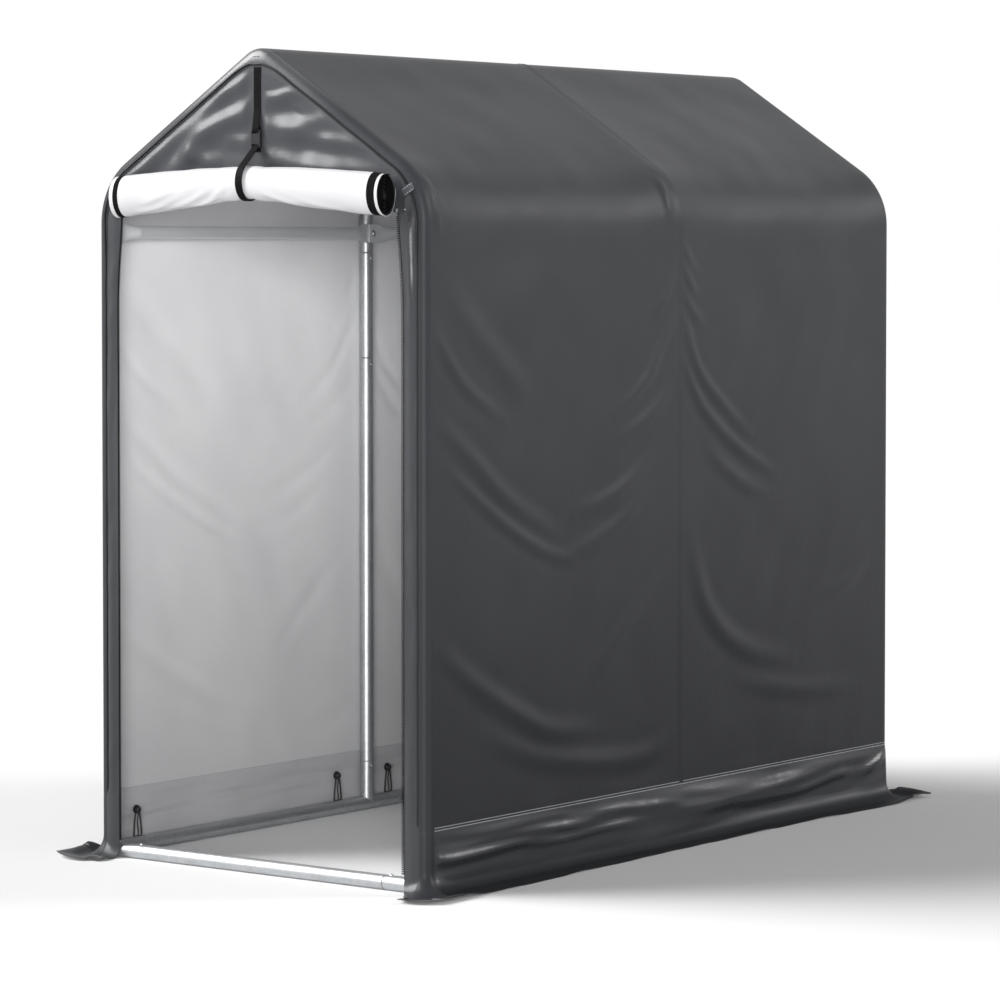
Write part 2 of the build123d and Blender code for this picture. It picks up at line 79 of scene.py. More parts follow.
def linear(code):
    """Linear RGBA of an sRGB hex colour."""
    shares = [int(code[i : i + 2], 16) / 255 for i in (1, 3, 5)]
    return (*(c / 12.92 if c <= 0.04045 else ((c + 0.055) / 1.055) ** 2.4 for c in shares), 1)


def add_node(tree, kind, settings=None, links=None, stops=()):
    """Node of that kind. Settings name its attributes or inputs, links its inputs. Stops are
    the (position, colour) pairs of a colour ramp."""
    node = tree.nodes.new(kind)
    for key, value in (settings or {}).items():
        if isinstance(key, str) and hasattr(node, key):
            setattr(node, key, value)
        else:
            node.inputs[key].default_value = value
    for key, socket in (links or {}).items():
        tree.links.new(socket, node.inputs[key])
    for i, (position, colour) in enumerate(stops):
        node.color_ramp.elements[i].position = position
        node.color_ramp.elements[i].color = colour
    return node


def new_material(name, settings):
    """Material with one principled shader. Returns it, its node tree and the shader."""
    material = bpy.data.materials.new(name)
    material.use_nodes = True
    tree = material.node_tree
    tree.nodes.clear()
    shader = add_node(tree, "ShaderNodeBsdfPrincipled", settings)
    add_node(tree, "ShaderNodeOutputMaterial", links={"Surface": shader.outputs[0]})
    return material, tree, shader


def seen_in_mirror(tree):
    """1 for rays from the camera and for those that gloss or glass sends on."""
    path = add_node(tree, "ShaderNodeLightPath")
    glossy = add_node(
        tree,
        "ShaderNodeMath",
        {"operation": "MAXIMUM"},
        {0: path.outputs["Is Camera Ray"], 1: path.outputs["Is Glossy Ray"]},
    )
    return add_node(
        tree,
        "ShaderNodeMath",
        {"operation": "MAXIMUM"},
        {0: glossy.outputs[0], 1: path.outputs["Is Transmission Ray"]},
    ).outputs[0]


world = bpy.data.worlds.new("room")
scene.world = world
world.use_nodes = True
tree = world.node_tree
tree.nodes.clear()
room = add_node(tree, "ShaderNodeBackground", {"Color": (1, 1, 1, 1), "Strength": ROOM_LIGHT})
wall = add_node(tree, "ShaderNodeBackground", {"Color": (1, 1, 1, 1), "Strength": 1})
shown = add_node(
    tree, "ShaderNodeMixShader", links={0: seen_in_mirror(tree), 1: room.outputs[0], 2: wall.outputs[0]}
)
add_node(tree, "ShaderNodeOutputWorld", links={"Surface": shown.outputs[0]})

floor_material, tree, shader = new_material(
    "matt_studio_floor", {"Base Color": linear(FLOOR_COLOUR), "Roughness": 0.9, "Specular IOR Level": 0.1}
)
paper = add_node(tree, "ShaderNodeBsdfDiffuse", {"Color": linear(FLOOR_SHOWN_COLOUR)})
shown = add_node(
    tree, "ShaderNodeMixShader", links={0: seen_in_mirror(tree), 1: shader.outputs[0], 2: paper.outputs[0]}
)
add_node(tree, "ShaderNodeOutputMaterial", {"is_active_output": True}, {"Surface": shown.outputs[0]})
floor_mesh = bpy.data.meshes.new("floor")
corners = [(x * FLOOR_HALF_WIDTH, y * FLOOR_HALF_WIDTH, 0) for x, y in ((-1, -1), (1, -1), (1, 1), (-1, 1))]
floor_mesh.from_pydata(corners, [], [(0, 1, 2, 3)])
floor_mesh.materials.append(floor_material)
floor = bpy.data.objects.new("floor", floor_mesh)
scene.collection.objects.link(floor)

for name, away, spread, strength in (
    ("soft_light_over_left", (-0.86, -0.51, 0.72), 40, 3.5),
    ("soft_light_by_camera", (0.60, -0.80, 0.045), 22, 3.4),
    ("sheen_light_front_left", (-0.85, -0.62, 0.40), 22, 0.9),
    ("sheen_light_rear_right", (0.70, 0.72, 0.42), 20, 1.15),
):
    lamp = bpy.data.objects.new(name, bpy.data.lights.new(name, "SUN"))
    scene.collection.objects.link(lamp)
    lamp.data.angle = math.radians(spread)
    lamp.data.energy = strength
    away = np.array(away) / np.linalg.norm(away)
    lamp.rotation_euler = (math.acos(away[2]), 0, math.atan2(away[0], -away[1]))
    lamp.location = 6 * away

# Frame: steel tube, hot-dip galvanised, slipped together at swaged ends. Zinc freezes in
# flat crystals, so the grey varies in patches a few millimetres across and shines in streaks.
ZINC_LIGHT = "#bcbec0"
ZINC_DARK = "#acaeb1"
CRYSTALS_PER_METRE = 130

zinc, tree, shader = new_material("galvanised_steel_tube", {"Metallic": 0.85, "Roughness": 0.3})
place = add_node(tree, "ShaderNodeTexCoord").outputs["Object"]
crystals = add_node(tree, "ShaderNodeTexVoronoi", {"Scale": CRYSTALS_PER_METRE}, {"Vector": place})
clouds = add_node(tree, "ShaderNodeTexNoise", {"Scale": 14.0, "Detail": 4.0}, {"Vector": place})
patches = add_node(
    tree,
    "ShaderNodeMix",
    {"data_type": "FLOAT", 0: 0.7},
    {2: crystals.outputs["Color"], 3: clouds.outputs["Fac"]},
)
stops = [(0.3, linear(ZINC_DARK)), (0.7, linear(ZINC_LIGHT))]
tone = add_node(tree, "ShaderNodeValToRGB", links={0: patches.outputs[0]}, stops=stops)
shine = add_node(
    tree, "ShaderNodeMapRange", {"To Min": 0.35, "To Max": 0.38}, {"Value": patches.outputs[0]}
)
tree.links.new(tone.outputs[0], shader.inputs["Base Color"])
tree.links.new(shine.outputs[0], shader.inputs["Roughness"])

# The eave rails are a thinner tube, galvanised before it was rolled: even and matt. Their grey
# is paler than the other tubes': painted light, to lift them where they sit in shade inside.
pale_zinc, tree, shader = new_material("pre_galvanised_rail_tube_painted_paler", {"Metallic": 0.35, "Roughness": 0.4})
place = add_node(tree, "ShaderNodeTexCoord").outputs["Object"]
streaks = add_node(tree, "ShaderNodeTexNoise", {"Scale": 9.0, "Detail": 3.0}, {"Vector": place})
stops = [(0, linear("#cdcfd1")), (1, linear("#dcdee0"))]
tone = add_node(tree, "ShaderNodeValToRGB", links={0: streaks.outputs["Fac"]}, stops=stops)
tree.links.new(tone.outputs[0], shader.inputs["Base Color"])

TUBE_WORDS = ("legs", "elbow", "rafters", "ground_", "ridge_rail", "eave_rails")
for name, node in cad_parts.items():
    if any(word in name for word in TUBE_WORDS):
        node.data.materials.clear()
        node.data.materials.append(pale_zinc if "eave_rails" in name else zinc)

# Cover: polyester cloth, coated dark grey outside and silver-white inside. Two bays are
# sewn together behind the middle hoop. Between the hoops the cloth is a little slack: it
# dips at the eaves and hangs in swags from the seam and from the front corner.
cover_low, cover_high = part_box("cover_front_bay")
HALF_WIDTH = cover_high.x
FRONT = cover_low.y
CROWN = cover_high.z
SEAM_Y = cover_high.y
PITCH = math.radians(33)
EAVE_RADIUS = 0.175
RIDGE_RADIUS = 0.070
SLEEVE_RADIUS = 0.0203
SLEEVE_RETURN = 0.024
SEAM_HEIGHT = 0.147
CLOTH_THICKNESS = 0.0012
EAVE_TURN = math.pi / 2 - PITCH
HOOP_Y = -FRONT - SLEEVE_RADIUS

ridge_arc = RIDGE_RADIUS * PITCH
peak = CROWN + RIDGE_RADIUS * (1 / math.cos(PITCH) - 1)
eave_tangent = EAVE_RADIUS * math.tan(EAVE_TURN / 2)
slope = HALF_WIDTH / math.cos(PITCH) - RIDGE_RADIUS * math.tan(PITCH) - eave_tangent
eave_start = ridge_arc + slope
eave_arc = EAVE_RADIUS * EAVE_TURN
wall_start = eave_start + eave_arc
wall_top = peak - HALF_WIDTH * math.tan(PITCH) - eave_tangent
hoop_reach = wall_start + wall_top - SEAM_HEIGHT


def hoop(s, lift=0.0):
    """Across and up of the cover's outline at a distance s right of the crown, lifted off it."""
    a = np.abs(s)
    turn = np.minimum(a / RIDGE_RADIUS, PITCH) + np.clip((a - eave_start) / EAVE_RADIUS, 0, EAVE_TURN)
    across = RIDGE_RADIUS * np.sin(np.minimum(turn, PITCH))
    up = CROWN - RIDGE_RADIUS * (1 - np.cos(np.minimum(turn, PITCH)))
    down_slope = np.clip(a - ridge_arc, 0, slope)
    across = across + down_slope * math.cos(PITCH)
    up = up - down_slope * math.sin(PITCH)
    bent = np.maximum(turn, PITCH)
    across = across + EAVE_RADIUS * (np.sin(bent) - math.sin(PITCH))
    up = up - EAVE_RADIUS * (math.cos(PITCH) - np.cos(bent))
    up = up - np.maximum(a - wall_start, 0)
    across = across + lift * np.sin(turn)
    up = up + lift * np.cos(turn)
    return np.sign(s) * across, up


def smooth(x):
    """0 to 1 with level ends."""
    x = np.clip(x, 0, 1)
    return x * x * (3 - 2 * x)


def curve(route, count=48):
    """Points evenly along a smooth curve through a few points."""
    route = np.array(route, float)
    padded = np.vstack([2 * route[0] - route[1], route, 2 * route[-1] - route[-2]])
    t = np.linspace(0, len(route) - 1.000001, count)
    i = t.astype(int)
    u = (t - i)[:, None]
    a, b, c, d = (padded[i + k] for k in range(4))
    return 0.5 * (2 * b + (c - a) * u + (2 * a - 5 * b + 4 * c - d) * u**2 + (3 * b - a - 3 * c + d) * u**3)


def fold_height(x, y, folds):
    """Height of the folds at flat places x, y. A fold is (route, width, height): a rounded
    ridge along its route with a shallow furrow on each side, fading at both ends."""
    flat = np.stack([x.ravel(), y.ravel()], 1)
    height = np.zeros(len(flat))
    for route, width, rise in folds:
        line = curve(route)
        near = np.all((flat > line.min(0) - 4 * width) & (flat < line.max(0) + 4 * width), axis=1)
        run = line[1:] - line[:-1]
        share = np.sum((flat[near][:, None] - line[None, :-1]) * run[None], 2) / np.sum(run**2, 1)[None]
        share = np.clip(share, 0, 1)
        gap = np.linalg.norm(flat[near][:, None] - line[None, :-1] - share[..., None] * run[None], axis=2)
        nearest = gap.argmin(1)
        rows = np.arange(len(gap))
        off = gap[rows, nearest] / width
        along = (nearest + share[rows, nearest]) / len(run)
        fade = np.sin(np.pi * np.clip(along, 0.02, 0.98)) ** 0.7
        height[near] += rise * fade * (1 - 0.55 * off**2) * np.exp(-0.5 * off**2)
    return height.reshape(x.shape)


def ripples(x, y, size, seed, count=7):
    """Gentle uneven waves, about 1 high and size long, the same on each run."""
    random = np.random.default_rng(seed)
    total = np.zeros(np.shape(x))
    for _ in range(count):
        angle, phase = random.uniform(0, 2 * np.pi, 2)
        length = size * random.uniform(0.6, 1.8)
        total += np.sin(2 * np.pi * (x * np.cos(angle) + y * np.sin(angle)) / length + phase)
    return total / math.sqrt(count)


def sheet_object(name, outer, materials, flat_places, thickness=CLOTH_THICKNESS):
    """Closed thin sheet from a grid of points on its outer face, rows by columns. A turn from
    the way the rows run to the way the columns run is anticlockwise, seen from outside. The
    first material is outside and the second inside; face_kinds serves to give out the others."""
    rows, columns = outer.shape[:2]
    along = np.gradient(outer, axis=0)
    across = np.gradient(outer, axis=1)
    normal = np.cross(along, across)
    normal /= np.maximum(np.linalg.norm(normal, axis=2, keepdims=True), 1e-12)
    points = np.concatenate([outer.reshape(-1, 3), (outer - thickness * normal).reshape(-1, 3)])
    grid = np.arange(rows * columns).reshape(rows, columns)
    quads = np.stack([grid[:-1, :-1], grid[1:, :-1], grid[1:, 1:], grid[:-1, 1:]], -1).reshape(-1, 4)
    back = quads[:, ::-1] + rows * columns
    rim = np.concatenate([grid[0], grid[1:, -1], grid[-1, -2::-1], grid[-2:0:-1, 0]])
    following = np.roll(rim, -1)
    edge = np.stack([rim, following, following + rows * columns, rim + rows * columns], 1)
    faces = np.concatenate([quads, back, edge])
    mesh = bpy.data.meshes.new(name)
    mesh.from_pydata(points.tolist(), [], faces.tolist())
    for material in materials:
        mesh.materials.append(material)
    kinds = np.zeros(len(faces), np.int32)
    kinds[len(quads) : len(quads) + len(back)] = min(len(materials), 2) - 1
    mesh.polygons.foreach_set("material_index", kinds)
    layer = mesh.uv_layers.new(name="cloth")
    corner = np.empty(len(mesh.loops), np.int32)
    mesh.loops.foreach_get("vertex_index", corner)
    both = np.concatenate([flat_places.reshape(-1, 2)] * 2)
    layer.data.foreach_set("uv", both[corner].ravel())
    mesh.shade_smooth()
    mesh.set_sharp_from_angle(angle=math.radians(60))
    piece = bpy.data.objects.new(name, mesh)
    scene.collection.objects.link(piece)
    return piece


def face_kinds(piece):
    """Which material each face of a piece has, and the x, y and z of the faces' middles."""
    polygons = piece.data.polygons
    kinds, middles = np.empty(len(polygons), np.int32), np.empty(3 * len(polygons))
    polygons.foreach_get("material_index", kinds)
    polygons.foreach_get("center", middles)
    return kinds, middles.reshape(-1, 3).T


# The coating fills the weave, so the cloth is nearly smooth. It has a soft gloss that
# varies a little, and faint crease marks. Real threads lie 0.5 mm apart, too fine to show:
# they are drawn twenty times as coarse, and shallow.
COVER_COLOUR = "#37383b"
COVER_DARK = "#323336"
DRAWN_THREAD_MM = 10.134
# At a scale of 1, the bands of a wave node lie this far apart.
WAVE_NODE_MM = 314.159


def coated_cloth(name, colour, dark, settings, crease, painted_shade_at_foot=0.7):
    """Coated woven cloth: clouded colour that is darkened towards the ground as painted shade,
    uneven gloss, and weave and fine creases as bump."""
    material, tree, shader = new_material(name, settings)
    coordinates = add_node(tree, "ShaderNodeTexCoord")
    place = coordinates.outputs["Object"]
    clouds = add_node(tree, "ShaderNodeTexNoise", {"Scale": 3.0, "Detail": 5.0}, {"Vector": place})
    stops = [(0.3, linear(dark)), (0.65, linear(colour))]
    tone = add_node(tree, "ShaderNodeValToRGB", links={0: clouds.outputs["Fac"]}, stops=stops)
    # From 1.5 m down to 0.1 m the colour is darkened smoothly: painted shade.
    height = add_node(tree, "ShaderNodeSeparateXYZ", links={0: place})
    rising = {"From Min": 0.1, "From Max": 1.5, "To Min": painted_shade_at_foot, "interpolation_type": "SMOOTHSTEP"}
    painted_shade_by_height = add_node(tree, "ShaderNodeMapRange", rising, {"Value": height.outputs["Z"]})
    toned = add_node(
        tree,
        "ShaderNodeMix",
        {"data_type": "RGBA", "blend_type": "MULTIPLY", 0: 1.0},
        {6: tone.outputs[0], 7: painted_shade_by_height.outputs[0]},
    )
    low = settings["Roughness"] - 0.06
    high = settings["Roughness"] + 0.08
    gloss = add_node(
        tree, "ShaderNodeMapRange", {"To Min": low, "To Max": high}, {"Value": clouds.outputs["Fac"]}
    )
    weave = []
    for direction in ("X", "Y"):
        threads = {"bands_direction": direction, "Scale": WAVE_NODE_MM / DRAWN_THREAD_MM, "Distortion": 0.4}
        wave = add_node(tree, "ShaderNodeTexWave", threads, {"Vector": coordinates.outputs["UV"]})
        weave.append(wave.outputs["Fac"])
    crossed = add_node(tree, "ShaderNodeMath", {"operation": "MULTIPLY"}, {0: weave[0], 1: weave[1]})
    fine = add_node(
        tree, "ShaderNodeBump", {"Strength": 0.12, "Distance": 0.0004}, {"Height": crossed.outputs[0]}
    )
    creases = add_node(
        tree, "ShaderNodeTexNoise", {"Scale": 26.0, "Detail": 6.0, "Distortion": 0.6}, {"Vector": place}
    )
    worn = add_node(
        tree,
        "ShaderNodeBump",
        {"Strength": crease, "Distance": 0.002},
        {"Height": creases.outputs["Fac"], "Normal": fine.outputs[0]},
    )
    tree.links.new(toned.outputs[2], shader.inputs["Base Color"])
    tree.links.new(gloss.outputs[0], shader.inputs["Roughness"])
    tree.links.new(worn.outputs[0], shader.inputs["Normal"])
    return material


COVER_GLOSS = {"Roughness": 0.42, "Specular IOR Level": 0.13}
cover_cloth = coated_cloth("coated_polyester_dark_grey", COVER_COLOUR, COVER_DARK, COVER_GLOSS, 0.25, 0.55)
edge_cloth = coated_cloth(
    "coated_polyester_dark_grey_pulled_taut", COVER_COLOUR, COVER_DARK, COVER_GLOSS, 0.1, 0.85
)


def graded(material, low_height, high_height, changes):
    """Shader settings that change with height. changes lists (input, low value, high value)."""
    tree = material.node_tree
    shader = next(node for node in tree.nodes if node.type == "BSDF_PRINCIPLED")
    place = add_node(tree, "ShaderNodeTexCoord").outputs["Object"]
    height = add_node(tree, "ShaderNodeSeparateXYZ", links={0: place})
    for socket, low, high in changes:
        step = {"From Min": low_height, "From Max": high_height, "To Min": low, "To Max": high}
        step["interpolation_type"] = "SMOOTHSTEP"
        ramp = add_node(tree, "ShaderNodeMapRange", step, {"Value": height.outputs["Z"]})
        tree.links.new(ramp.outputs[0], shader.inputs[socket])


# Over the apex of the front hoop the turned edge is pulled taut, and so it shines.
graded(edge_cloth, 1.76, 1.90, [("Roughness", 0.42, 0.34), ("Specular IOR Level", 0.13, 0.75)])
LINING_GLOSS = {"Roughness": 0.5, "Specular IOR Level": 0.3}
lining = coated_cloth("coated_polyester_silver_inside", "#ececed", "#e4e4e6", LINING_GLOSS, 0.25, 0.56)

# Folds of a wall as they hang, from outside: routes of (y, height), width and rise. The
# first set hangs between the front corner and the seam, the second behind the seam.
FRONT_FOLDS = [
    ([(-0.966, 1.640), (-0.960, 1.590), (-0.950, 1.500)], 0.013, 0.0060),
    ([(-0.026, 1.650), (-0.026, 1.600), (-0.030, 1.540)], 0.012, 0.0060),
    ([(-0.965, 1.285), (-0.904, 1.204), (-0.825, 1.136), (-0.70, 1.07)], 0.015, 0.0043),
    ([(-0.93, 1.39), (-0.80, 1.27), (-0.683, 1.178), (-0.60, 1.11)], 0.032, 0.0048),
    ([(-0.015, 1.41), (-0.045, 1.354), (-0.09, 1.305)], 0.013, 0.0034),
    ([(-0.008, 1.31), (-0.075, 1.213), (-0.13, 1.146), (-0.25, 1.065)], 0.015, 0.0050),
    ([(-0.01, 1.13), (-0.121, 1.056), (-0.25, 1.00)], 0.018, 0.0041),
    ([(-0.955, 1.075), (-0.81, 0.974), (-0.702, 0.893), (-0.49, 0.79)], 0.021, 0.0060),
    ([(-0.91, 0.96), (-0.749, 0.856), (-0.581, 0.771), (-0.43, 0.725)], 0.015, 0.0055),
    ([(-0.08, 0.98), (-0.20, 0.905), (-0.30, 0.865), (-0.42, 0.84)], 0.020, 0.0050),
    ([(-0.12, 0.89), (-0.235, 0.809), (-0.384, 0.757), (-0.48, 0.735)], 0.020, 0.0041),
    ([(-0.96, 0.56), (-0.825, 0.472), (-0.655, 0.384), (-0.513, 0.33), (-0.32, 0.315)], 0.024, 0.0067),
    ([(-0.06, 0.69), (-0.213, 0.562), (-0.34, 0.45)], 0.023, 0.0046),
    ([(-0.78, 0.34), (-0.561, 0.271), (-0.30, 0.235), (-0.12, 0.235), (-0.03, 0.28)], 0.024, 0.0050),
]
REAR_FOLDS = [
    ([(0.036, 1.475), (0.06, 1.44), (0.09, 1.41)], 0.012, 0.0034),
    ([(0.036, 1.435), (0.06, 1.385), (0.095, 1.345)], 0.013, 0.0038),
    ([(0.038, 1.365), (0.07, 1.315), (0.12, 1.28)], 0.014, 0.0038),
    ([(0.036, 1.305), (0.069, 1.218), (0.109, 1.155), (0.22, 1.07), (0.33, 1.0)], 0.015, 0.0055),
    ([(0.038, 1.195), (0.082, 1.116), (0.16, 1.04), (0.304, 0.955), (0.45, 0.895)], 0.015, 0.0058),
    ([(0.14, 0.965), (0.208, 0.924), (0.318, 0.869), (0.43, 0.84)], 0.019, 0.0041),
    ([(0.065, 0.75), (0.121, 0.60), (0.22, 0.503), (0.36, 0.445), (0.52, 0.42)], 0.026, 0.0062),
    ([(0.28, 0.38), (0.55, 0.335), (0.86, 0.32)], 0.023, 0.0038),
    ([(0.68, 0.565), (0.79, 0.595), (0.91, 0.655)], 0.021, 0.0036),
]
# The left wall isn't seen: the same folds are fainter there.
LEFT_WALL_SHARE = 0.4
EAVE_SAG = 0.014
WALL_SAG = 0.004
ROOF_SAG = 0.006
SLACK_STARTS = 0.11


def cover_lift(s, y):
    """How far the cover stands off its outline, outwards: slack, folds and small waves."""
    a = np.abs(s)
    from_hoop = np.minimum(np.abs(y), HOOP_Y - np.abs(y))
    slack = 1 - np.exp(-((np.maximum(from_hoop, 0) / SLACK_STARTS) ** 1.4))
    at_eave = np.exp(-(((a - eave_start - eave_arc * 0.45) / 0.12) ** 2))
    on_wall = smooth((a - wall_start) / 0.1) * (1 - smooth((a - wall_start) / 0.75))
    on_slope = smooth((a - ridge_arc) / 0.15) * (1 - smooth((a - eave_start) / 0.1))
    lift = -slack * (EAVE_SAG * at_eave + WALL_SAG * on_wall + ROOF_SAG * on_slope)
    height = wall_top + wall_start - a
    swags = fold_height(y, height, FRONT_FOLDS + REAR_FOLDS) * np.where(s > 0, 1, LEFT_WALL_SHARE)
    waves = 0.0011 * ripples(y, s, 0.32, 3) + 0.0005 * ripples(y, s, 0.12, 4)
    free = slack * smooth((a - 0.03) / 0.08)
    low_edge = smooth((height - SEAM_HEIGHT) / 0.05)
    return lift + (swags + waves * free) * low_edge


def spaced(*runs):
    """Places along runs of (start, end, step), with no place twice."""
    parts = []
    for start, end, step in runs:
        parts.append(np.linspace(start, end, max(int(round(abs(end - start) / step)), 1), endpoint=False))
    return np.append(np.concatenate(parts), runs[-1][1])


# Distance between two grid lines of the cloth, in metres. The plain slopes need fewer.
CLOTH_STEP = 0.0095
half_places = spaced(
    (0, ridge_arc, 0.008),
    (ridge_arc, eave_start, 0.014),
    (eave_start, wall_start, 0.009),
    (wall_start, hoop_reach, CLOTH_STEP),
)
hoop_places = np.concatenate([-half_places[:0:-1], half_places])
SEAM_OVERLAP = 0.012
SEAM_RISE = 0.0014
APEX_GATHER = 0.014
APEX_GATHER_REACH = 0.05


def apex_return(s):
    """How much deeper the turned edge of the front is, where it is gathered over the apex."""
    return APEX_GATHER * np.exp(-((s / APEX_GATHER_REACH) ** 2))


for bay_name, end in (("front", -1), ("rear", 1)):
    flat_run = end * HOOP_Y - SEAM_Y
    along = spaced((0, abs(flat_run), CLOTH_STEP))
    # Past the hoop, the cloth turns a quarter round its tube and runs on inwards.
    turn = np.linspace(0, math.pi / 2, 6)[1:]
    turned = end * (HOOP_Y + SLEEVE_RADIUS * np.sin(turn))
    y = np.concatenate([SEAM_Y + end * along, turned, [-end * FRONT]])
    drop = np.concatenate([0 * along, SLEEVE_RADIUS * (1 - np.cos(turn)), [SLEEVE_RETURN]])
    s, y = np.meshgrid(hoop_places, y, indexing="ij")
    lift = cover_lift(s, y) * (drop == 0) - drop
    if end < 0:
        lift -= apex_return(s) * drop / SLEEVE_RETURN
        lift += SEAM_RISE * (y > SEAM_Y - SEAM_OVERLAP)
    x, z = hoop(s, lift)
    outer = np.stack([x, y, z], 2)
    flat = np.stack([s, y], 2)
    if end < 0:
        outer, flat = outer[:, ::-1], flat[:, ::-1]
    bay = sheet_object(f"{bay_name}_bay_cloth", outer, [cover_cloth, lining, edge_cloth], flat)
    kinds, middles = face_kinds(bay)
    kinds[(middles[1] < -HOOP_Y) & (kinds == 0)] = 2
    bay.data.polygons.foreach_set("material_index", kinds)
    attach(bay, "root")
    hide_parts(f"cover_{bay_name}_bay")

# Skirt: a strip of the same cloth, coated dark outside and silver inside, sewn under the cover's
# lower edge. It hangs loose in long bulges, turns outwards and lies on the ground as a flap.
FLAP_REACH = 0.095
CORNER_BEND_RADIUS = 0.050
LAP = 0.006
LAP_INSET = 0.0013
GROUND_CLEAR = 0.0016
RIM_WIDTH = 0.055
SKIRT_ROWS = 34
SKIRT_STEP = 0.0085
CORNER_CENTRE = (HALF_WIDTH - SLEEVE_RADIUS, HOOP_Y)
# Where the corners count as lying along the walls, in the skirt's ripples and folds.
CORNER_PLACE = HOOP_Y + 0.02

SKIRT_GLOSS = {"Roughness": 0.24, "Specular IOR Level": 0.27}
skirt_cloth = coated_cloth(
    "coated_polyester_dark_skirt_outside", "#2e2f32", "#28292c", SKIRT_GLOSS, 0.3, 1.0
)
# The flap on the ground is scuffed and dusty, so it has lost its gloss.
graded(skirt_cloth, 0.010, 0.040, [("Roughness", 0.60, 0.24), ("Specular IOR Level", 0.03, 0.27)])
# Its inside is the silver lining, drawn in a greyer copy of the lining's colour: painted shade.
skirt_lining = coated_cloth(
    "coated_polyester_skirt_inside_painted_shade", "#d8d8da", "#c6c6c8", LINING_GLOSS, 0.3, 0.6
)
# The flap beside the right wall, from the front corner to the rear one: places along it, how
# far it reaches out there, and the radius of its bend at the ground.
REACH_PLACES = (-1.1, -0.85, -0.43, 0.0, 0.48, 0.85, 1.1)
REACHES = (0.095, 0.091, 0.078, 0.070, 0.066, 0.084, 0.095)
BEND_RADII = (0.022, 0.020, 0.020, 0.026, 0.040, 0.044, 0.036)
# Folds of the hanging part, as routes of (y, height), width and rise.
SKIRT_FOLDS = [
    ([(-0.93, 0.118), (-0.76, 0.116), (-0.56, 0.120), (-0.40, 0.113)], 0.0125, 0.0080),
    ([(-0.95, 0.087), (-0.78, 0.093), (-0.58, 0.096), (-0.40, 0.088), (-0.24, 0.094)], 0.0112, 0.0085),
    ([(-0.995, 0.070), (-0.92, 0.066), (-0.82, 0.068), (-0.66, 0.074), (-0.50, 0.072)], 0.0112, 0.0099),
    ([(-0.62, 0.058), (-0.44, 0.062), (-0.30, 0.068), (-0.16, 0.066)], 0.0100, 0.0057),
    ([(-0.46, 0.106), (-0.28, 0.108), (-0.12, 0.100), (0.02, 0.098)], 0.0112, 0.0066),
    ([(-0.14, 0.124), (0.06, 0.118), (0.24, 0.112), (0.42, 0.118)], 0.0163, 0.0080),
    ([(-0.08, 0.084), (0.16, 0.078), (0.44, 0.088), (0.66, 0.102), (0.80, 0.104)], 0.0225, 0.0118),
    ([(0.26, 0.056), (0.55, 0.062), (0.80, 0.086)], 0.0125, 0.0071),
    ([(0.52, 0.128), (0.74, 0.124), (0.92, 0.120)], 0.0137, 0.0066),
    ([(0.86, 0.075), (0.95, 0.100), (0.985, 0.130)], 0.0125, 0.0066),
]


def skirt_points(foot, out_way, along, from_corner, reach, swell=0.0, own=0.0, wavy=1.0, tucked=1.0):
    """Grid of points on a skirt's outer face, and how far down the cloth each lies. foot holds
    the wall line's points, out_way the way out from each, along the place on its side and
    from_corner the distance to a corner. Where own is 1, the cloth stands out by swell in
    place of the skirt's bulges. wavy scales the waves of the rim on the ground. Where tucked
    is 1, the top lies behind the cover's edge."""
    bend = np.interp(along, REACH_PLACES, BEND_RADII)
    bend = bend + (CORNER_BEND_RADIUS - bend) * np.exp(-((from_corner / 0.06) ** 1.5))
    drop = SEAM_HEIGHT + LAP - bend
    quarter = bend * math.pi / 2
    flat_run = np.maximum(reach - bend, 0.004)
    total = drop + quarter + flat_run
    v = np.linspace(0, 1, SKIRT_ROWS)[:, None] * total[None]
    turned = np.clip((v - drop) / bend, 0, math.pi / 2)
    out = bend * (1 - np.cos(turned)) + np.maximum(v - drop - quarter, 0)
    up = SEAM_HEIGHT + LAP - np.minimum(v, drop) - bend * np.sin(turned)
    along_grid = np.broadcast_to(along[None], v.shape)
    bulge = 0.0030 + 0.0025 * ripples(along_grid, up, 0.7, 11, 4)
    folds = fold_height(along_grid, np.maximum(SEAM_HEIGHT - v, 0), SKIRT_FOLDS)
    small = 0.0010 * ripples(along_grid, 3.5 * v, 0.22, 12)
    above_bend = 1 - smooth((v - drop) / (0.9 * quarter))
    hang = smooth(v / 0.055) * above_bend
    push = np.maximum(bulge + folds + small, 0) * hang
    push = push * (1 - own) + own * swell * above_bend
    push = push - LAP_INSET * (1 - smooth(v / 0.012)) * tucked
    out = out + push * np.cos(turned)
    up = up + push * np.sin(turned)
    rim = smooth((v - total + RIM_WIDTH) / RIM_WIDTH)
    flutter = (0.0035 + 0.0035 * ripples(along_grid, 2 * v, 0.16, 13)) * wavy
    curl = 0.010 * np.exp(-((from_corner / 0.05) ** 2))
    up = up + np.maximum(flutter, 0) * rim * smooth(flat_run / 0.02) + curl * rim
    up = np.maximum(up, 0) + GROUND_CLEAR
    return np.stack([foot[:, 0] + out * out_way[:, 0], foot[:, 1] + out * out_way[:, 1], up], 2), v


def corner_reach(angle, straight=FLAP_REACH):
    """Reach of the flap at a corner of the plan: nearly square, with a rounded tip."""
    edge = straight + SLEEVE_RADIUS
    power = 7
    squared = (abs(math.cos(angle)) ** power + abs(math.sin(angle)) ** power) ** (1 / power)
    return edge / squared - SLEEVE_RADIUS


# Plan of the skirt's top, anticlockwise from the middle of the front right corner to the
# middle of the front left one: (foot, way out, place along its side, corner distance, reach,
# own, wavy). At the two front corners the turned edge of the cover runs on down to the ground.
FRONT_LEFT_REACH = 0.084
LEFT_REACH_PLACES = (-1.1, -1.0, -0.93, -0.85, 0.6, 0.85, 1.1)
LEFT_REACHES = (0.084, 0.078, 0.052, 0.040, 0.050, 0.084, 0.095)
plan = []


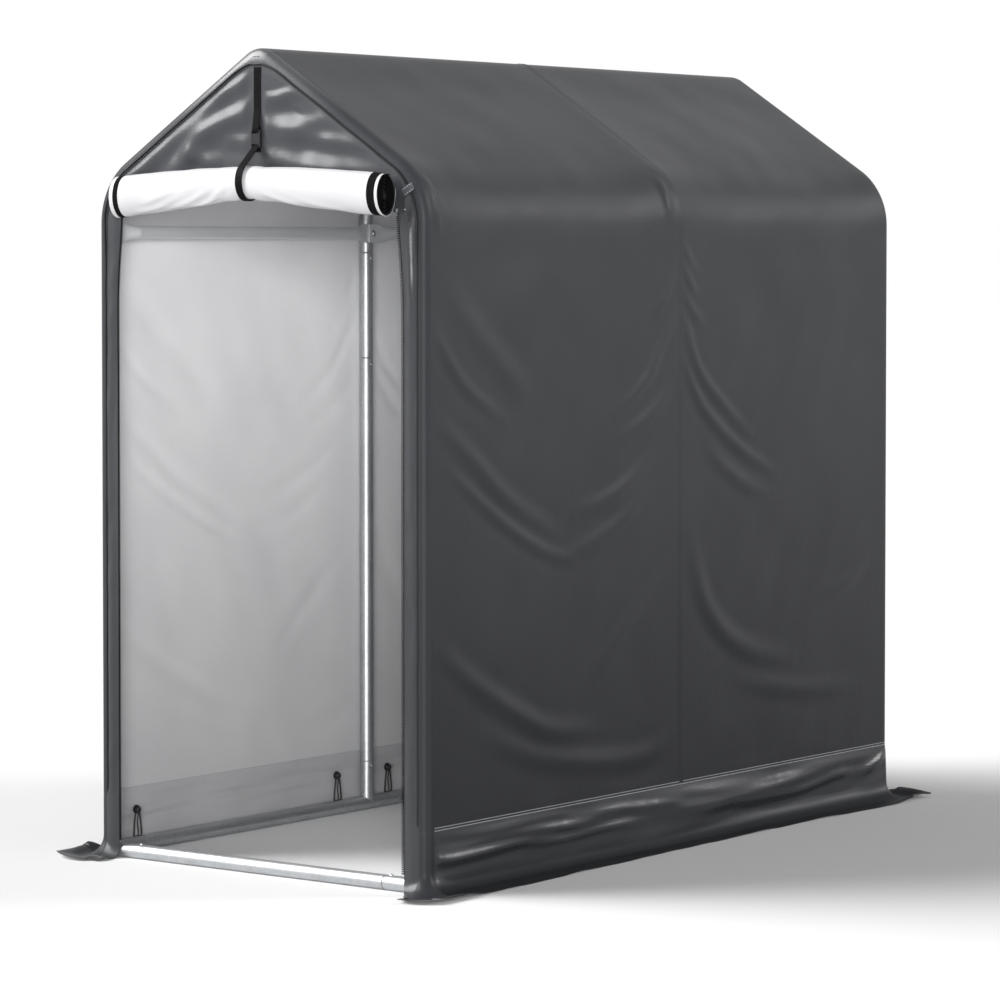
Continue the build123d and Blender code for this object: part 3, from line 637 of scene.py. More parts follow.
def add_corner(side, end, start, stop, count):
    """Fan of places round one corner of the plan, from one angle to another in degrees."""
    for degrees in np.linspace(start, stop, count):
        angle = math.radians(degrees)
        way = (math.cos(angle), math.sin(angle))
        centre = (side * CORNER_CENTRE[0], end * CORNER_CENTRE[1])
        foot = (centre[0] + SLEEVE_RADIUS * way[0], centre[1] + SLEEVE_RADIUS * way[1])
        front_left = side < 0 and end < 0
        reach = corner_reach(angle, FRONT_LEFT_REACH if front_left else FLAP_REACH)
        plan.append((foot, way, end * CORNER_PLACE, 0, reach, end < 0, 3 if front_left else 1))


def add_side(start, stop, way):
    """Places along one straight side of the plan."""
    start, stop = np.array(start), np.array(stop)
    length = np.linalg.norm(stop - start)
    for share in np.linspace(0, 1, int(length / SKIRT_STEP))[1:-1]:
        foot = start + share * (stop - start)
        along = foot[1] if way[0] else foot[0]
        corner = min(share, 1 - share) * length
        if way[0] < 0:
            reach = np.interp(along, LEFT_REACH_PLACES, LEFT_REACHES)
        else:
            reach = np.interp(along, REACH_PLACES, REACHES)
            reach += (FLAP_REACH - reach) * math.exp(-corner / 0.08)
        own = (1 - smooth((along + HOOP_Y + 0.004) / 0.024)) * (way[0] != 0)
        wavy = 0.4 + 2.6 * (way[0] < 0) * (along < -0.8)
        plan.append((tuple(foot), way, along, corner, reach, own, wavy))


add_corner(1, -1, -45, 0, 16)
add_side((HALF_WIDTH, -HOOP_Y), (HALF_WIDTH, HOOP_Y), (1, 0))
add_corner(1, 1, 0, 90, 32)
add_side((CORNER_CENTRE[0], -FRONT), (-CORNER_CENTRE[0], -FRONT), (0, 1))
add_corner(-1, 1, 90, 180, 32)
add_side((-HALF_WIDTH, HOOP_Y), (-HALF_WIDTH, -HOOP_Y), (-1, 0))
add_corner(-1, -1, 180, 225, 16)

foot_line, way_out, along, corner, reach, foot_own, wavy = (np.array(part, float) for part in zip(*plan))
skirt_grid, skirt_fall = skirt_points(foot_line, way_out, along, corner, reach, 0.0, foot_own, wavy)
run = np.concatenate([[0], np.cumsum(np.linalg.norm(np.diff(foot_line, axis=0), axis=1))])
flat = np.stack([np.broadcast_to(run, skirt_fall.shape), -skirt_fall], 2)
skirt = sheet_object("skirt_cloth", skirt_grid, [skirt_cloth, skirt_lining, edge_cloth, cover_cloth], flat)
# The front corners are the cover's turned edge, running on down.
kinds = face_kinds(skirt)[0]
corner_kind = np.where(foot_own[:-1] < 0.5, 0, np.where(foot_line[:-1, 1] < -HOOP_Y, 2, 3))
corner_kind = np.tile(corner_kind, SKIRT_ROWS - 1)
kinds[: len(corner_kind)] = np.where(corner_kind > 0, corner_kind, kinds[: len(corner_kind)])
skirt.data.polygons.foreach_set("material_index", kinds)
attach(skirt, "root")
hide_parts("left_skirt", "right_skirt", "rear_skirt")

# Door jambs: two strips of the cover's cloth beside the doorway, sewn inside the turned edge
# of the cover. At the foot each is pulled outwards and lies on the ground in front.
JAMB_EDGE = 0.4372
JAMB_SEAM = 0.4776
PANEL_LAP = 0.0014
GABLE_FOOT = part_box("front_gable_panel")[0].z
ZIP_TURN_IN = 0.015
JAMB_COLUMNS = 22
JAMB_INSET = 0.0224
FOOT_SHORTER = 0.009
BEHIND_ROLL = 0.036

JAMB_GLOSS = {"Roughness": 0.30, "Specular IOR Level": 0.32}
jamb_cloth = coated_cloth("coated_polyester_dark_grey_jamb", "#3c3d40", "#353639", JAMB_GLOSS, 0.3, 0.8)


def doorway_edge(z):
    """How far across a jamb's inner edge is at a height. It is drawn in under the roll."""
    return JAMB_EDGE - ZIP_TURN_IN * smooth((z - 1.33) / 0.26)


# Creases at the top of the right jamb, where the cover is pulled back over the eave bend:
# routes of (distance from the middle, height), width and rise.
JAMB_FOLDS = [
    ([(0.474, 1.580), (0.466, 1.545), (0.456, 1.505), (0.457, 1.430), (0.459, 1.300)], 0.0070, 0.0052),
    ([(0.448, 1.600), (0.444, 1.560), (0.440, 1.520)], 0.0065, 0.0035),
]
jamb_outline = hoop(spaced((0, hoop_reach, 0.004)), -JAMB_INSET)
corner_angle = math.radians(-45)
corner_arc = SLEEVE_RADIUS * math.pi / 4
for side, name, skew, straight_reach, wavy in (
    (1, "right", 0.071, FLAP_REACH, 0.3),
    (-1, "left", 0.0, FRONT_LEFT_REACH, 3),
):
    p = np.linspace(0, 1, JAMB_COLUMNS)
    # The foot goes on round half of the corner, to meet the skirt.
    straight = CORNER_CENTRE[0] - JAMB_EDGE
    d = p * (straight + corner_arc)
    round_turn = np.clip((d - straight) / SLEEVE_RADIUS, 0, math.pi / 4)
    way = np.stack([np.sin(round_turn), -np.cos(round_turn)], 1)
    across = np.minimum(d, straight) + JAMB_EDGE + SLEEVE_RADIUS * np.sin(round_turn)
    feet = np.stack([across, -HOOP_Y - SLEEVE_RADIUS * np.cos(round_turn)], 1)
    to_corner = (1 - p) * 0.10
    inner_reach = straight_reach - FOOT_SHORTER
    at_corner = corner_reach(corner_angle, straight_reach)
    full_reach = inner_reach + (at_corner - inner_reach) * smooth((p - 0.4) / 0.6)
    low, fall = skirt_points(
        feet,
        way,
        np.full(JAMB_COLUMNS, -CORNER_PLACE),
        to_corner,
        full_reach,
        swell=0.003 * np.sin(np.pi * np.clip(d / (JAMB_SEAM - JAMB_EDGE), 0, 1)),
        own=1.0,
        wavy=wavy,
        tucked=smooth((d - JAMB_SEAM + JAMB_EDGE + 0.002) / 0.003),
    )
    # The right foot is drawn aside, more the further out it lies.
    out = np.clip(FRONT - low[..., 1], 0, None)
    low[..., 0] += skew * (1 - p) * out / FLAP_REACH
    rise = spaced((GABLE_FOOT + 0.006, SEAM_HEIGHT + 0.02, CLOTH_STEP))
    rise, share = np.meshgrid(rise, p, indexing="ij")
    # Behind the roll the jamb is wider, so that no light shows past the roll's end.
    inner = doorway_edge(rise) - BEHIND_ROLL * smooth((rise - 1.540) / 0.025)
    outer = np.minimum(JAMB_SEAM, np.interp(rise, jamb_outline[1][::-1], jamb_outline[0][::-1]))
    upper_x = inner + share * (outer - inner)
    free = np.sin(np.pi * share) ** 0.8
    wave = 0.0016 * ripples(0.3 * rise, 2.2 * upper_x, 0.16, 20 + side)
    wave = wave - 0.0006 * ripples(rise, upper_x, 0.10, 23)
    swell = 0.0035 * np.sin(np.pi * share) * (0.7 + 0.3 * np.sin(5.5 * rise + side))
    creases = fold_height(upper_x, rise, JAMB_FOLDS) * (side > 0)
    behind_edge = PANEL_LAP * smooth((share - 0.75) / 0.2)
    upper_y = FRONT + behind_edge - np.maximum(swell + wave + creases, 0) * free
    upper = np.stack([upper_x, upper_y, rise], 2)
    grid = np.concatenate([upper, low])
    down = np.concatenate([rise[:1, :1] - rise, fall + rise[0, 0] - SEAM_HEIGHT - LAP], 0)
    grid[..., 0] *= side
    flat = np.stack([np.broadcast_to(side * d, down.shape), -down], 2)
    if side < 0:
        grid, flat = grid[:, ::-1], flat[:, ::-1]
    jamb = sheet_object(f"{name}_jamb_cloth", grid, [jamb_cloth, lining, edge_cloth], flat)
    # Outside the seam the foot is the cover's turned edge, running on down.
    kinds, middles = face_kinds(jamb)
    outside_seam = (np.abs(middles[0]) > JAMB_SEAM) & (middles[2] < SEAM_HEIGHT + LAP)
    kinds[outside_seam & (kinds == 0)] = 2
    jamb.data.polygons.foreach_set("material_index", kinds)
    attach(jamb, "root")
    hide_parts(f"front_{name}_jamb")

# Gable and rear panels: flat pieces of the same cloth, sewn inside the turned edges. The
# gable was packed folded and is a little too large, so it stands in broad soft creases.
PANEL_INSET = 0.0188
PANEL_COLUMNS = 113
STRAP_X = 0.005
# The long crease runs along the left slope, a little below it.
LEFT_CREST = [(-0.262, 1.640), (-0.219, 1.684), (-0.178, 1.725), (-0.116, 1.757), (-0.041, 1.779), (0, 1.786)]
GABLE_FOLDS = [
    (LEFT_CREST, 0.025, 0.0112),
    ([(-0.235, 1.690), (-0.165, 1.682), (-0.100, 1.655)], 0.017, 0.0066),
    ([(-0.100, 1.724), (-0.060, 1.720), (-0.010, 1.706)], 0.016, 0.0060),
    ([(0.010, 1.812), (0.084, 1.820), (0.160, 1.834)], 0.019, 0.0074),
    ([(0.005, 1.756), (0.103, 1.741), (0.152, 1.747), (0.225, 1.770)], 0.024, 0.0088),
    ([(0.130, 1.727), (0.240, 1.712), (0.350, 1.700)], 0.015, 0.0062),
    ([(0.010, 1.684), (0.140, 1.659), (0.252, 1.643), (0.400, 1.628)], 0.022, 0.0082),
]
SEAM_SWELL = 0.0062
DEEPEST_HOLLOW = 0.012
GABLE_GLOSS = {"Roughness": 0.31, "Specular IOR Level": 0.32}
gable_cloth = coated_cloth("coated_polyester_dark_grey_gable", "#414245", "#3b3c3f", GABLE_GLOSS, 0.2)

top = CROWN - PANEL_INSET
edge_x, edge_z = hoop(spaced((0, hoop_reach, 0.004)), -PANEL_INSET)
on_roof = edge_z > 1.6
for name, end, foot_height, cloth, node_name, bay_name in (
    ("gable", -1, GABLE_FOOT, gable_cloth, "front_gable_panel", "front_bay_cloth"),
    ("rear", 1, SEAM_HEIGHT - 0.006, cover_cloth, "rear_panel", "rear_bay_cloth"),
):
    rise = np.concatenate(
        [spaced((foot_height, top - 0.09, 0.0085)), spaced((top - 0.084, top - 0.0006, 0.005))]
    )
    half = np.interp(rise, edge_z[::-1], edge_x[::-1])
    share = np.linspace(-1, 1, PANEL_COLUMNS)
    x = half[:, None] * share[None]
    z = np.broadcast_to(rise[:, None], x.shape)
    below_roof = (np.interp(np.abs(x), edge_x[on_roof], edge_z[on_roof]) - z) * math.cos(PITCH)
    from_edge = np.minimum(half[:, None] * (1 - np.abs(share)), below_roof)
    if end < 0:
        # The gable lies flat under the strap and nearly so behind the roll, and is fullest
        # beside its left sloping seam.
        from_edge = from_edge - apex_return(x)
        beside_strap = smooth((np.abs(x - STRAP_X) - 0.0115) / 0.025)
        above_roll = 0.15 + 0.85 * smooth((z - 1.620) / 0.03)
        free = smooth((from_edge - 0.004) / 0.022) * beside_strap * above_roll
        height = fold_height(x, z, GABLE_FOLDS)
        height += 0.0016 * ripples(x, z, 0.19, 31) + 0.0008 * ripples(x, z, 0.07, 36)
        beside_seam = np.exp(-0.5 * ((from_edge - 0.031) / 0.014) ** 2)
        height += SEAM_SWELL * beside_seam * smooth((-x - 0.01) / 0.04)
    else:
        free = smooth((from_edge - 0.006) / 0.035) * smooth((z - SEAM_HEIGHT) / 0.1)
        height = 0.0026 * ripples(x, 0.4 * z, 0.36, 32) + 0.0006 * ripples(x, 0.6 * z, 0.15, 37) + 0.003
    height = np.maximum(height, -DEEPEST_HOLLOW * smooth((from_edge - 0.042) / 0.03))
    y = end * (-FRONT - PANEL_LAP + PANEL_LAP * smooth(from_edge / 0.02) + free * height)
    grid = np.stack([x, y, z], 2)
    flat = np.stack([x, z], 2)
    if end > 0:
        grid, flat = grid[:, ::-1], flat[:, ::-1]
    grid, flat = grid.transpose(1, 0, 2), flat.transpose(1, 0, 2)
    panel = sheet_object(f"{name}_panel_cloth", grid, [cloth, lining], flat)
    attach(panel, "root")
    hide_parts(node_name)

# Rolled door: one sheet of the cover's cloth, wound with its silver face outwards. The strap
# lifts its middle, so the ends droop, and the zip's tape shows as a black band near each end.
roll_low, roll_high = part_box("door_roll")
ROLL_RIGHT = roll_high.x - 0.003
ROLL_LEFT = roll_low.x + 0.022
ROLL_RADIUS = -(roll_low.y - FRONT) / 2
ROLL_DEPTH_SHARE = 0.72
ROLL_TALL_SHARE = 0.93
ROLL_Y = FRONT - 0.0010 - ROLL_RADIUS * ROLL_DEPTH_SHARE
END_SWELL = 0.0042
END_STRETCH = 0.12
ROLL_HEIGHT = roll_low.z + ROLL_RADIUS
CORE_RADIUS = 0.009
LAYERS = 5
TURN_LENGTH = 0.30
TURN_STEP = 1 / 72
MIDDLE_RISE = 0.016
END_DROOP = 0.016
TAPE_SHOWS = 0.013

ROLL_GLOSS = {"Roughness": 0.5, "Specular IOR Level": 0.4}
roll_lining = coated_cloth("coated_polyester_silver_door_face", "#c9c9cb", "#c1c1c3", ROLL_GLOSS, 0.35)


def woven_band(name, colour, rib_mm, settings):
    """Narrow woven band: rows of threads across it, drawn as ribs so many millimetres apart."""
    material, tree, shader = new_material(name, settings)
    coordinates = add_node(tree, "ShaderNodeTexCoord")
    ribs = add_node(
        tree,
        "ShaderNodeTexWave",
        {"bands_direction": "Y", "Scale": WAVE_NODE_MM / rib_mm, "Distortion": 1.0, "Detail": 2.0},
        {"Vector": coordinates.outputs["UV"]},
    )
    place = coordinates.outputs["Object"]
    fuzz = add_node(tree, "ShaderNodeTexNoise", {"Scale": 900.0, "Detail": 3.0}, {"Vector": place})
    pale = (*(min(1.7 * c, 1) for c in linear(colour)[:3]), 1)
    stops = [(0, linear(colour)), (1, pale)]
    tone = add_node(tree, "ShaderNodeValToRGB", links={0: fuzz.outputs["Fac"]}, stops=stops)
    relief = {"Strength": 0.5, "Distance": 0.0004}
    bump = add_node(tree, "ShaderNodeBump", relief, {"Height": ribs.outputs["Fac"]})
    tree.links.new(tone.outputs[0], shader.inputs["Base Color"])
    tree.links.new(bump.outputs[0], shader.inputs["Normal"])
    return material


# Threads of the tape lie 0.5 mm apart and are drawn six times as coarse. Light catches only
# their tops, so it looks matt.
DRAWN_TAPE_MM = 3.14159
zip_tape = woven_band(
    "woven_polyester_zip_tape", "#0b0b0c", DRAWN_TAPE_MM, {"Roughness": 0.8, "Specular IOR Level": 0.05}
)


def roll_lift(x):
    """How much higher the roll's axis is than its mean height."""
    away = np.minimum(np.abs(x - STRAP_X) / roll_high.x, 1)
    return MIDDLE_RISE - (MIDDLE_RISE + END_DROOP) * away**1.15


# Soft creases on the underside of the roll, drawn towards the strap. Each is a line of places
# along the roll and round it, both in metres, with its width and its rise.
ROLL_FOLDS = [
    ([(-0.330, 0.096), (-0.260, 0.104), (-0.190, 0.122)], 0.0075, 0.0042),
    ([(-0.240, 0.092), (-0.160, 0.106), (-0.090, 0.134)], 0.0080, 0.0048),
    ([(-0.150, 0.090), (-0.090, 0.106), (-0.040, 0.142)], 0.0075, 0.0046),
    ([(-0.300, 0.120), (-0.200, 0.142)], 0.0090, 0.0034),
    ([(-0.200, 0.088), (-0.130, 0.094), (-0.060, 0.108)], 0.0065, 0.0034),
    ([(0.055, 0.130), (0.120, 0.106), (0.200, 0.094)], 0.0090, 0.0036),
    ([(0.160, 0.118), (0.250, 0.102), (0.320, 0.094)], 0.0090, 0.0028),
]


def roll_surface(x, turn, inset=0.0):
    """Point on the wound sheet's outer face. turn counts from the back, going under."""
    radius = ROLL_RADIUS - (ROLL_RADIUS - CORE_RADIUS) * turn / LAYERS
    first = np.exp(-turn * 1.2)
    from_strap = x - STRAP_X
    puckers = np.sin(9.5 * np.arctan2(from_strap, 0.05) + 4 * turn) * np.exp(-((from_strap / 0.11) ** 2))
    wrinkle = 0.0020 * ripples(x, turn * TURN_LENGTH, 0.15, 41) + 0.0042 * puckers * (np.abs(from_strap) > 0.012)
    swell = END_SWELL * smooth((np.abs(from_strap) - 0.02) / 0.16)
    radius = radius - inset - np.maximum(-wrinkle, 0) * first - 0.0012 * first + swell
    radius = radius + fold_height(x, TURN_LENGTH * turn, ROLL_FOLDS) * (inset == 0)
    angle = -2 * np.pi * turn
    settle = 0.0022 * np.exp(-turn * 0.5)
    tall = ROLL_TALL_SHARE + END_STRETCH * smooth((np.abs(from_strap) - 0.05) / 0.35)
    y = ROLL_Y - swell + radius * np.cos(angle) * ROLL_DEPTH_SHARE
    z = ROLL_HEIGHT + roll_lift(x) + radius * np.sin(angle) * tall - settle
    return np.stack([x, y, z], -1)


turns = spaced((0, 1, TURN_STEP), (1, LAYERS, 1 / 40))
x = spaced((ROLL_LEFT, ROLL_RIGHT, CLOTH_STEP))
wound = roll_surface(*np.meshgrid(x, turns, indexing="ij"))
# Above the roll, the sheet runs up to its seam behind the gable's foot.
ROWS_ABOVE = 4
DOOR_SEAM_Y = FRONT + 0.0011
DOOR_SEAM_Z = GABLE_FOOT + 0.003
above = np.broadcast_to(wound[:, :1], (len(x), ROWS_ABOVE, 3)).copy()
for row in range(ROWS_ABOVE):
    share = 1 - row / ROWS_ABOVE
    above[:, row, 2] += share * (DOOR_SEAM_Z - wound[:, 0, 2])
    above[:, row, 1] = DOOR_SEAM_Y + (1 - share) * (wound[:, 0, 1] - DOOR_SEAM_Y)
grid = np.concatenate([above, wound], 1)
flat_v = np.concatenate([[0], np.cumsum(np.linalg.norm(np.diff(grid[0], axis=0), axis=1))])
flat = np.stack(np.meshgrid(x, flat_v, indexing="ij"), 2)
roll = sheet_object("door_roll_cloth", grid, [roll_lining, cover_cloth, zip_tape], flat)
# Inside the first turn, the last centimetre of the sheet at each end is its black zip tape.
kinds, middles = face_kinds(roll)
across = (middles[1] - ROLL_Y + END_SWELL) / ROLL_DEPTH_SHARE
up = (middles[2] - ROLL_HEIGHT + END_DROOP) / (ROLL_TALL_SHARE + END_STRETCH)
at_end = (middles[0] > ROLL_RIGHT - TAPE_SHOWS) | (middles[0] < ROLL_LEFT + TAPE_SHOWS)
kinds[(np.hypot(across, up) < ROLL_RADIUS - 0.0035) & at_end] = 2
roll.data.polygons.foreach_set("material_index", kinds)
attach(roll, "root")
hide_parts("door_roll")

# Piping: a cord covered in the cover's cloth, sewn into the seam between the turned edge and
# the panels. It shows as a raised line round the front and the rear.
PIPING_RADIUS = 0.0023
PIPING_SINK = 0.0030
PIPING_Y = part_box("rear_piping")[1].y - PIPING_RADIUS + 0.0012
PIPING_GLOSS = {"Roughness": 0.35, "Specular IOR Level": 0.2}
# Its cloth is drawn darker than the cover's, so that the seam shows as a dark line: painted shade.
piping_cloth = coated_cloth("coated_polyester_piping_painted_shade", "#262628", "#1f1f21", PIPING_GLOSS, 0.2, 1.0)


def mesh_object(name, points, faces, materials, smooth_shade=True):
    """Object from points and faces."""
    mesh = bpy.data.meshes.new(name)
    mesh.from_pydata([tuple(map(float, point)) for point in points], [], faces)
    for material in materials:
        mesh.materials.append(material)
    if smooth_shade:
        mesh.shade_smooth()
        mesh.set_sharp_from_angle(angle=math.radians(50))
    piece = bpy.data.objects.new(name, mesh)
    scene.collection.objects.link(piece)
    return piece


def round_tube(path, radius, sides=8):
    """Points and faces of a round tube along a path, with capped ends."""
    path = np.array(path, float)
    way = np.gradient(path, axis=0)
    way /= np.linalg.norm(way, axis=1, keepdims=True)
    first = np.cross(way, [0.31, 0.17, 0.93])
    weak = np.linalg.norm(first, axis=1) < 0.3
    first[weak] = np.cross(way[weak], [0.9, 0.3, 0.1])
    first /= np.linalg.norm(first, axis=1, keepdims=True)
    second = np.cross(way, first)
    turn = np.linspace(0, 2 * np.pi, sides, endpoint=False)
    ring = first[:, None] * np.cos(turn)[None, :, None] + second[:, None] * np.sin(turn)[None, :, None]
    points = (path[:, None] + radius * ring).reshape(-1, 3)
    faces = []
    for i in range(len(path) - 1):
        for k in range(sides):
            a, b = i * sides + k, i * sides + (k + 1) % sides
            faces.append((a, b, b + sides, a + sides))
    faces.append(tuple(range(sides - 1, -1, -1)))
    faces.append(tuple(range(len(points) - sides, len(points))))
    return points, faces


def joined(parts):
    """One list of points and one of faces from several."""
    points, faces, start = [], [], 0
    for part_points, part_faces in parts:
        points.extend(part_points)
        faces.extend([tuple(i + start for i in face) for face in part_faces])
        start += len(part_points)
    return points, faces


for name, end in (("front", -1), ("rear", 1)):
    reach = hoop_reach - 0.012
    s = spaced((-reach, -eave_start, 0.010), (-eave_start, eave_start, 0.008), (eave_start, reach, 0.010))
    x, z = hoop(s, -SLEEVE_RETURN - (apex_return(s) if end < 0 else 0))
    sway = 0.0004 * ripples(s, 0 * s, 0.09, 51)
    # Along the legs it lies deeper in its seam.
    sink = PIPING_SINK * smooth((np.abs(s) - wall_start) / 0.12)
    path = np.stack([x + sway, end * (PIPING_Y - sink), z + sway], 1)
    piping = mesh_object(f"{name}_piping_cord", *round_tube(path, PIPING_RADIUS), [piping_cloth])
    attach(piping, "root")
    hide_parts(f"{name}_piping")

# Zips: the halves that stay on the jambs. Black woven tape, black moulded teeth along its
# free edge, and a slider of plated zinc drawn up under the roll.
ZIP_INNER = 0.434
ZIP_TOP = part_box("door_zips")[1].z
ZIP_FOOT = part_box("door_zips")[0].z
ZIP_TAPE_WIDTH = 0.0125
TAPE_THICKNESS = 0.0008
TOOTH_PITCH = 0.005
TOOTH_SIZE = (0.0056, 0.0040, 0.0030)

tooth_plastic, tree, shader = new_material(
    "moulded_acetal_zip_teeth", {"Roughness": 0.5, "Specular IOR Level": 0.1}
)
grain = add_node(tree, "ShaderNodeTexNoise", {"Scale": 300.0})
stops = [(0, linear("#0b0b0d")), (1, linear("#141416"))]
tone = add_node(tree, "ShaderNodeValToRGB", links={0: grain.outputs["Fac"]}, stops=stops)
tree.links.new(tone.outputs[0], shader.inputs["Base Color"])
# Die-cast zinc, plated and tumbled: bright, with soft rounded scratches.
slider_metal, tree, shader = new_material("plated_zinc_slider", {"Metallic": 1.0, "Roughness": 0.4})
scuffs = add_node(tree, "ShaderNodeTexNoise", {"Scale": 420.0, "Detail": 4.0})
stops = [(0, linear("#85878a")), (1, linear("#a6a8ab"))]
tone = add_node(tree, "ShaderNodeValToRGB", links={0: scuffs.outputs["Fac"]}, stops=stops)
tree.links.new(tone.outputs[0], shader.inputs["Base Color"])


def block(centre, size, taper=1.0):
    """Six-sided block, narrower towards -X by taper."""
    half = np.array(size) / 2
    points = []
    for i in (-1, 1):
        narrow = taper if i < 0 else 1.0
        for j, k in ((-1, -1), (1, -1), (1, 1), (-1, 1)):
            points.append(np.array(centre) + half * (i, j * narrow, k * narrow))
    faces = [(3, 2, 1, 0), (4, 5, 6, 7), (0, 1, 5, 4), (1, 2, 6, 5), (2, 3, 7, 6), (3, 0, 4, 7)]
    return points, faces


def on_side(side, parts):
    """The parts as they are for the right side of the doorway, or mirrored for the left."""
    if side > 0:
        return parts
    return [([(-x, y, z) for x, y, z in points], [face[::-1] for face in faces]) for points, faces in parts]


def zip_x(z):
    """How far across the inner edge of a zip's tape is at a height."""
    return ZIP_INNER + doorway_edge(z) - JAMB_EDGE


for side, name in ((1, "right"), (-1, "left")):
    z, share = np.meshgrid(
        spaced((ZIP_FOOT + 0.006, ZIP_TOP, 0.008))[::-1], np.linspace(0, 1, 4), indexing="ij"
    )
    y = FRONT + 0.0016 + 0.0006 * smooth(share * 3)
    grid = np.stack([side * (zip_x(z) + 0.001 + share * ZIP_TAPE_WIDTH), y, z], 2)
    flat = np.stack([share * ZIP_TAPE_WIDTH, z], 2)
    if side < 0:
        grid, flat = grid[:, ::-1], flat[:, ::-1]
    tape = sheet_object(f"{name}_zip_tape", grid, [zip_tape], flat, TAPE_THICKNESS)
    teeth = [
        block((zip_x(z) - 0.0006, FRONT - 0.0004, z), TOOTH_SIZE, 0.7)
        for z in np.arange(ZIP_FOOT + 0.008, ZIP_TOP - 0.004, TOOTH_PITCH)
    ]
    row = mesh_object(f"{name}_zip_teeth", *joined(on_side(side, teeth)), [tooth_plastic], False)
    z = ZIP_TOP - 0.006
    x = zip_x(z)
    # Two plates, the post between them, the bridge on the front one and its pull.
    body = [
        block((x, FRONT - 0.0024, z), (0.0075, 0.0014, 0.0090), 0.8),
        block((x, FRONT + 0.0036, z), (0.0075, 0.0012, 0.0090), 0.8),
        block((x - 0.0028, FRONT + 0.0006, z + 0.0032), (0.0018, 0.0060, 0.0024)),
        block((x, FRONT - 0.0040, z - 0.0005), (0.0020, 0.0022, 0.0050)),
        block((x + 0.0004, FRONT - 0.0048, z - 0.0060), (0.0050, 0.0012, 0.0100), 0.85),
    ]
    slider = mesh_object(f"{name}_zip_slider", *joined(on_side(side, body)), [slider_metal], False)
    bevel = slider.modifiers.new("rounded", "BEVEL")
    bevel.width = 0.0004
    bevel.segments = 2
    for piece, finish in ((tape, "zip_tape"), (row, "zip_tape"), (slider, "galvanised_tube")):
        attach(piece, "root")
        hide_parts("door_zips")

# The same tape runs down the door's own two edges, so it shows as a band round each end of
# the roll.
for side, name, roll_end, band_width, from_end in (
    (1, "right", ROLL_RIGHT, 0.022, 0.008),
    (-1, "left", ROLL_LEFT, 0.015, 0.012),
):
    x = roll_end - side * np.linspace(from_end + band_width, from_end, 5)
    once_round = spaced((0.02, 1.0, TURN_STEP))
    grid = roll_surface(*np.meshgrid(x, once_round, indexing="ij"), inset=-TAPE_THICKNESS)
    flat = np.stack(np.meshgrid(x, once_round * TURN_LENGTH, indexing="ij"), 2)
    if side < 0:
        grid, flat = grid[::-1], flat[::-1]
    band = sheet_object(f"{name}_roll_band", grid, [zip_tape], flat, TAPE_THICKNESS)
    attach(band, "root")
    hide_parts("door_roll")

# Strap: black polypropylene webbing, sewn at the gable's peak. The outer length ends round
# the buckle's upper bar, the inner one passes under the roll and ends round the lower bar.
STRAP_WIDTH = 0.020
WEBBING_THICKNESS = 0.0015
DRAWN_RIB_MM = 14.96
socket_low, socket_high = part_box("buckle_socket")
BUCKLE_Y = (socket_low.y + socket_high.y) / 2
BAR_TURN = 0.00255
BAR_INSET = 0.0025
UPPER_BAR = socket_high.z - BAR_INSET
LOWER_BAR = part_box("buckle_clip")[0].z + BAR_INSET
STRAP_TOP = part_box("roll_strap_upper")[1].z
STRAP_CLEAR = 0.00105

# Ribs of the webbing lie 1.2 mm apart and are drawn twelve times as coarse. It has a faint
# shine.
webbing = woven_band(
    "woven_polypropylene_webbing", "#09090a", DRAWN_RIB_MM, {"Roughness": 0.6, "Specular IOR Level": 0.05}
)


def ribbon(name, path):
    """Webbing along a path of (y, z), with its middle line at STRAP_X. Also its length."""
    path = np.array(path, float)
    step = np.concatenate([[0], np.cumsum(np.linalg.norm(np.diff(path, axis=0), axis=1))])
    places = np.linspace(0, step[-1], int(step[-1] / 0.0016))
    y, z = np.interp(places, step, path[:, 0]), np.interp(places, step, path[:, 1])
    way = np.stack([np.gradient(y), np.gradient(z)], 1)
    way /= np.linalg.norm(way, axis=1, keepdims=True)
    lift = WEBBING_THICKNESS / 2
    y, z = y + lift * way[:, 1], z - lift * way[:, 0]
    share = np.linspace(-0.5, 0.5, 7)
    crown = 0.0002 * np.cos(np.pi * share)
    across = STRAP_X + STRAP_WIDTH * share[None]
    crowned_y, crowned_z = y[:, None] + crown * way[:, 1:], z[:, None] - crown * way[:, :1]
    grid = np.stack(np.broadcast_arrays(across, crowned_y, crowned_z), 2)
    flat = np.stack(np.broadcast_arrays(share[None] * STRAP_WIDTH, places[:, None]), 2)
    piece = sheet_object(name, grid, [webbing], flat, WEBBING_THICKNESS)
    return piece, float(places[-1])


def bar_turn(centre_z, start, stop):
    """Half turn of webbing round a buckle bar, in the plane of y and z."""
    turn = np.radians(np.linspace(start, stop, 13))
    return [(BUCKLE_Y + BAR_TURN * math.cos(a), centre_z + BAR_TURN * math.sin(a)) for a in turn]


panel_y = FRONT - STRAP_CLEAR
upper_path = [
    (panel_y, STRAP_TOP),
    (panel_y, socket_high.z + 0.048),
    (BUCKLE_Y - BAR_TURN, socket_high.z + 0.006),
    *bar_turn(UPPER_BAR, 180, 360),
    (BUCKLE_Y + BAR_TURN, UPPER_BAR + 0.012),
]
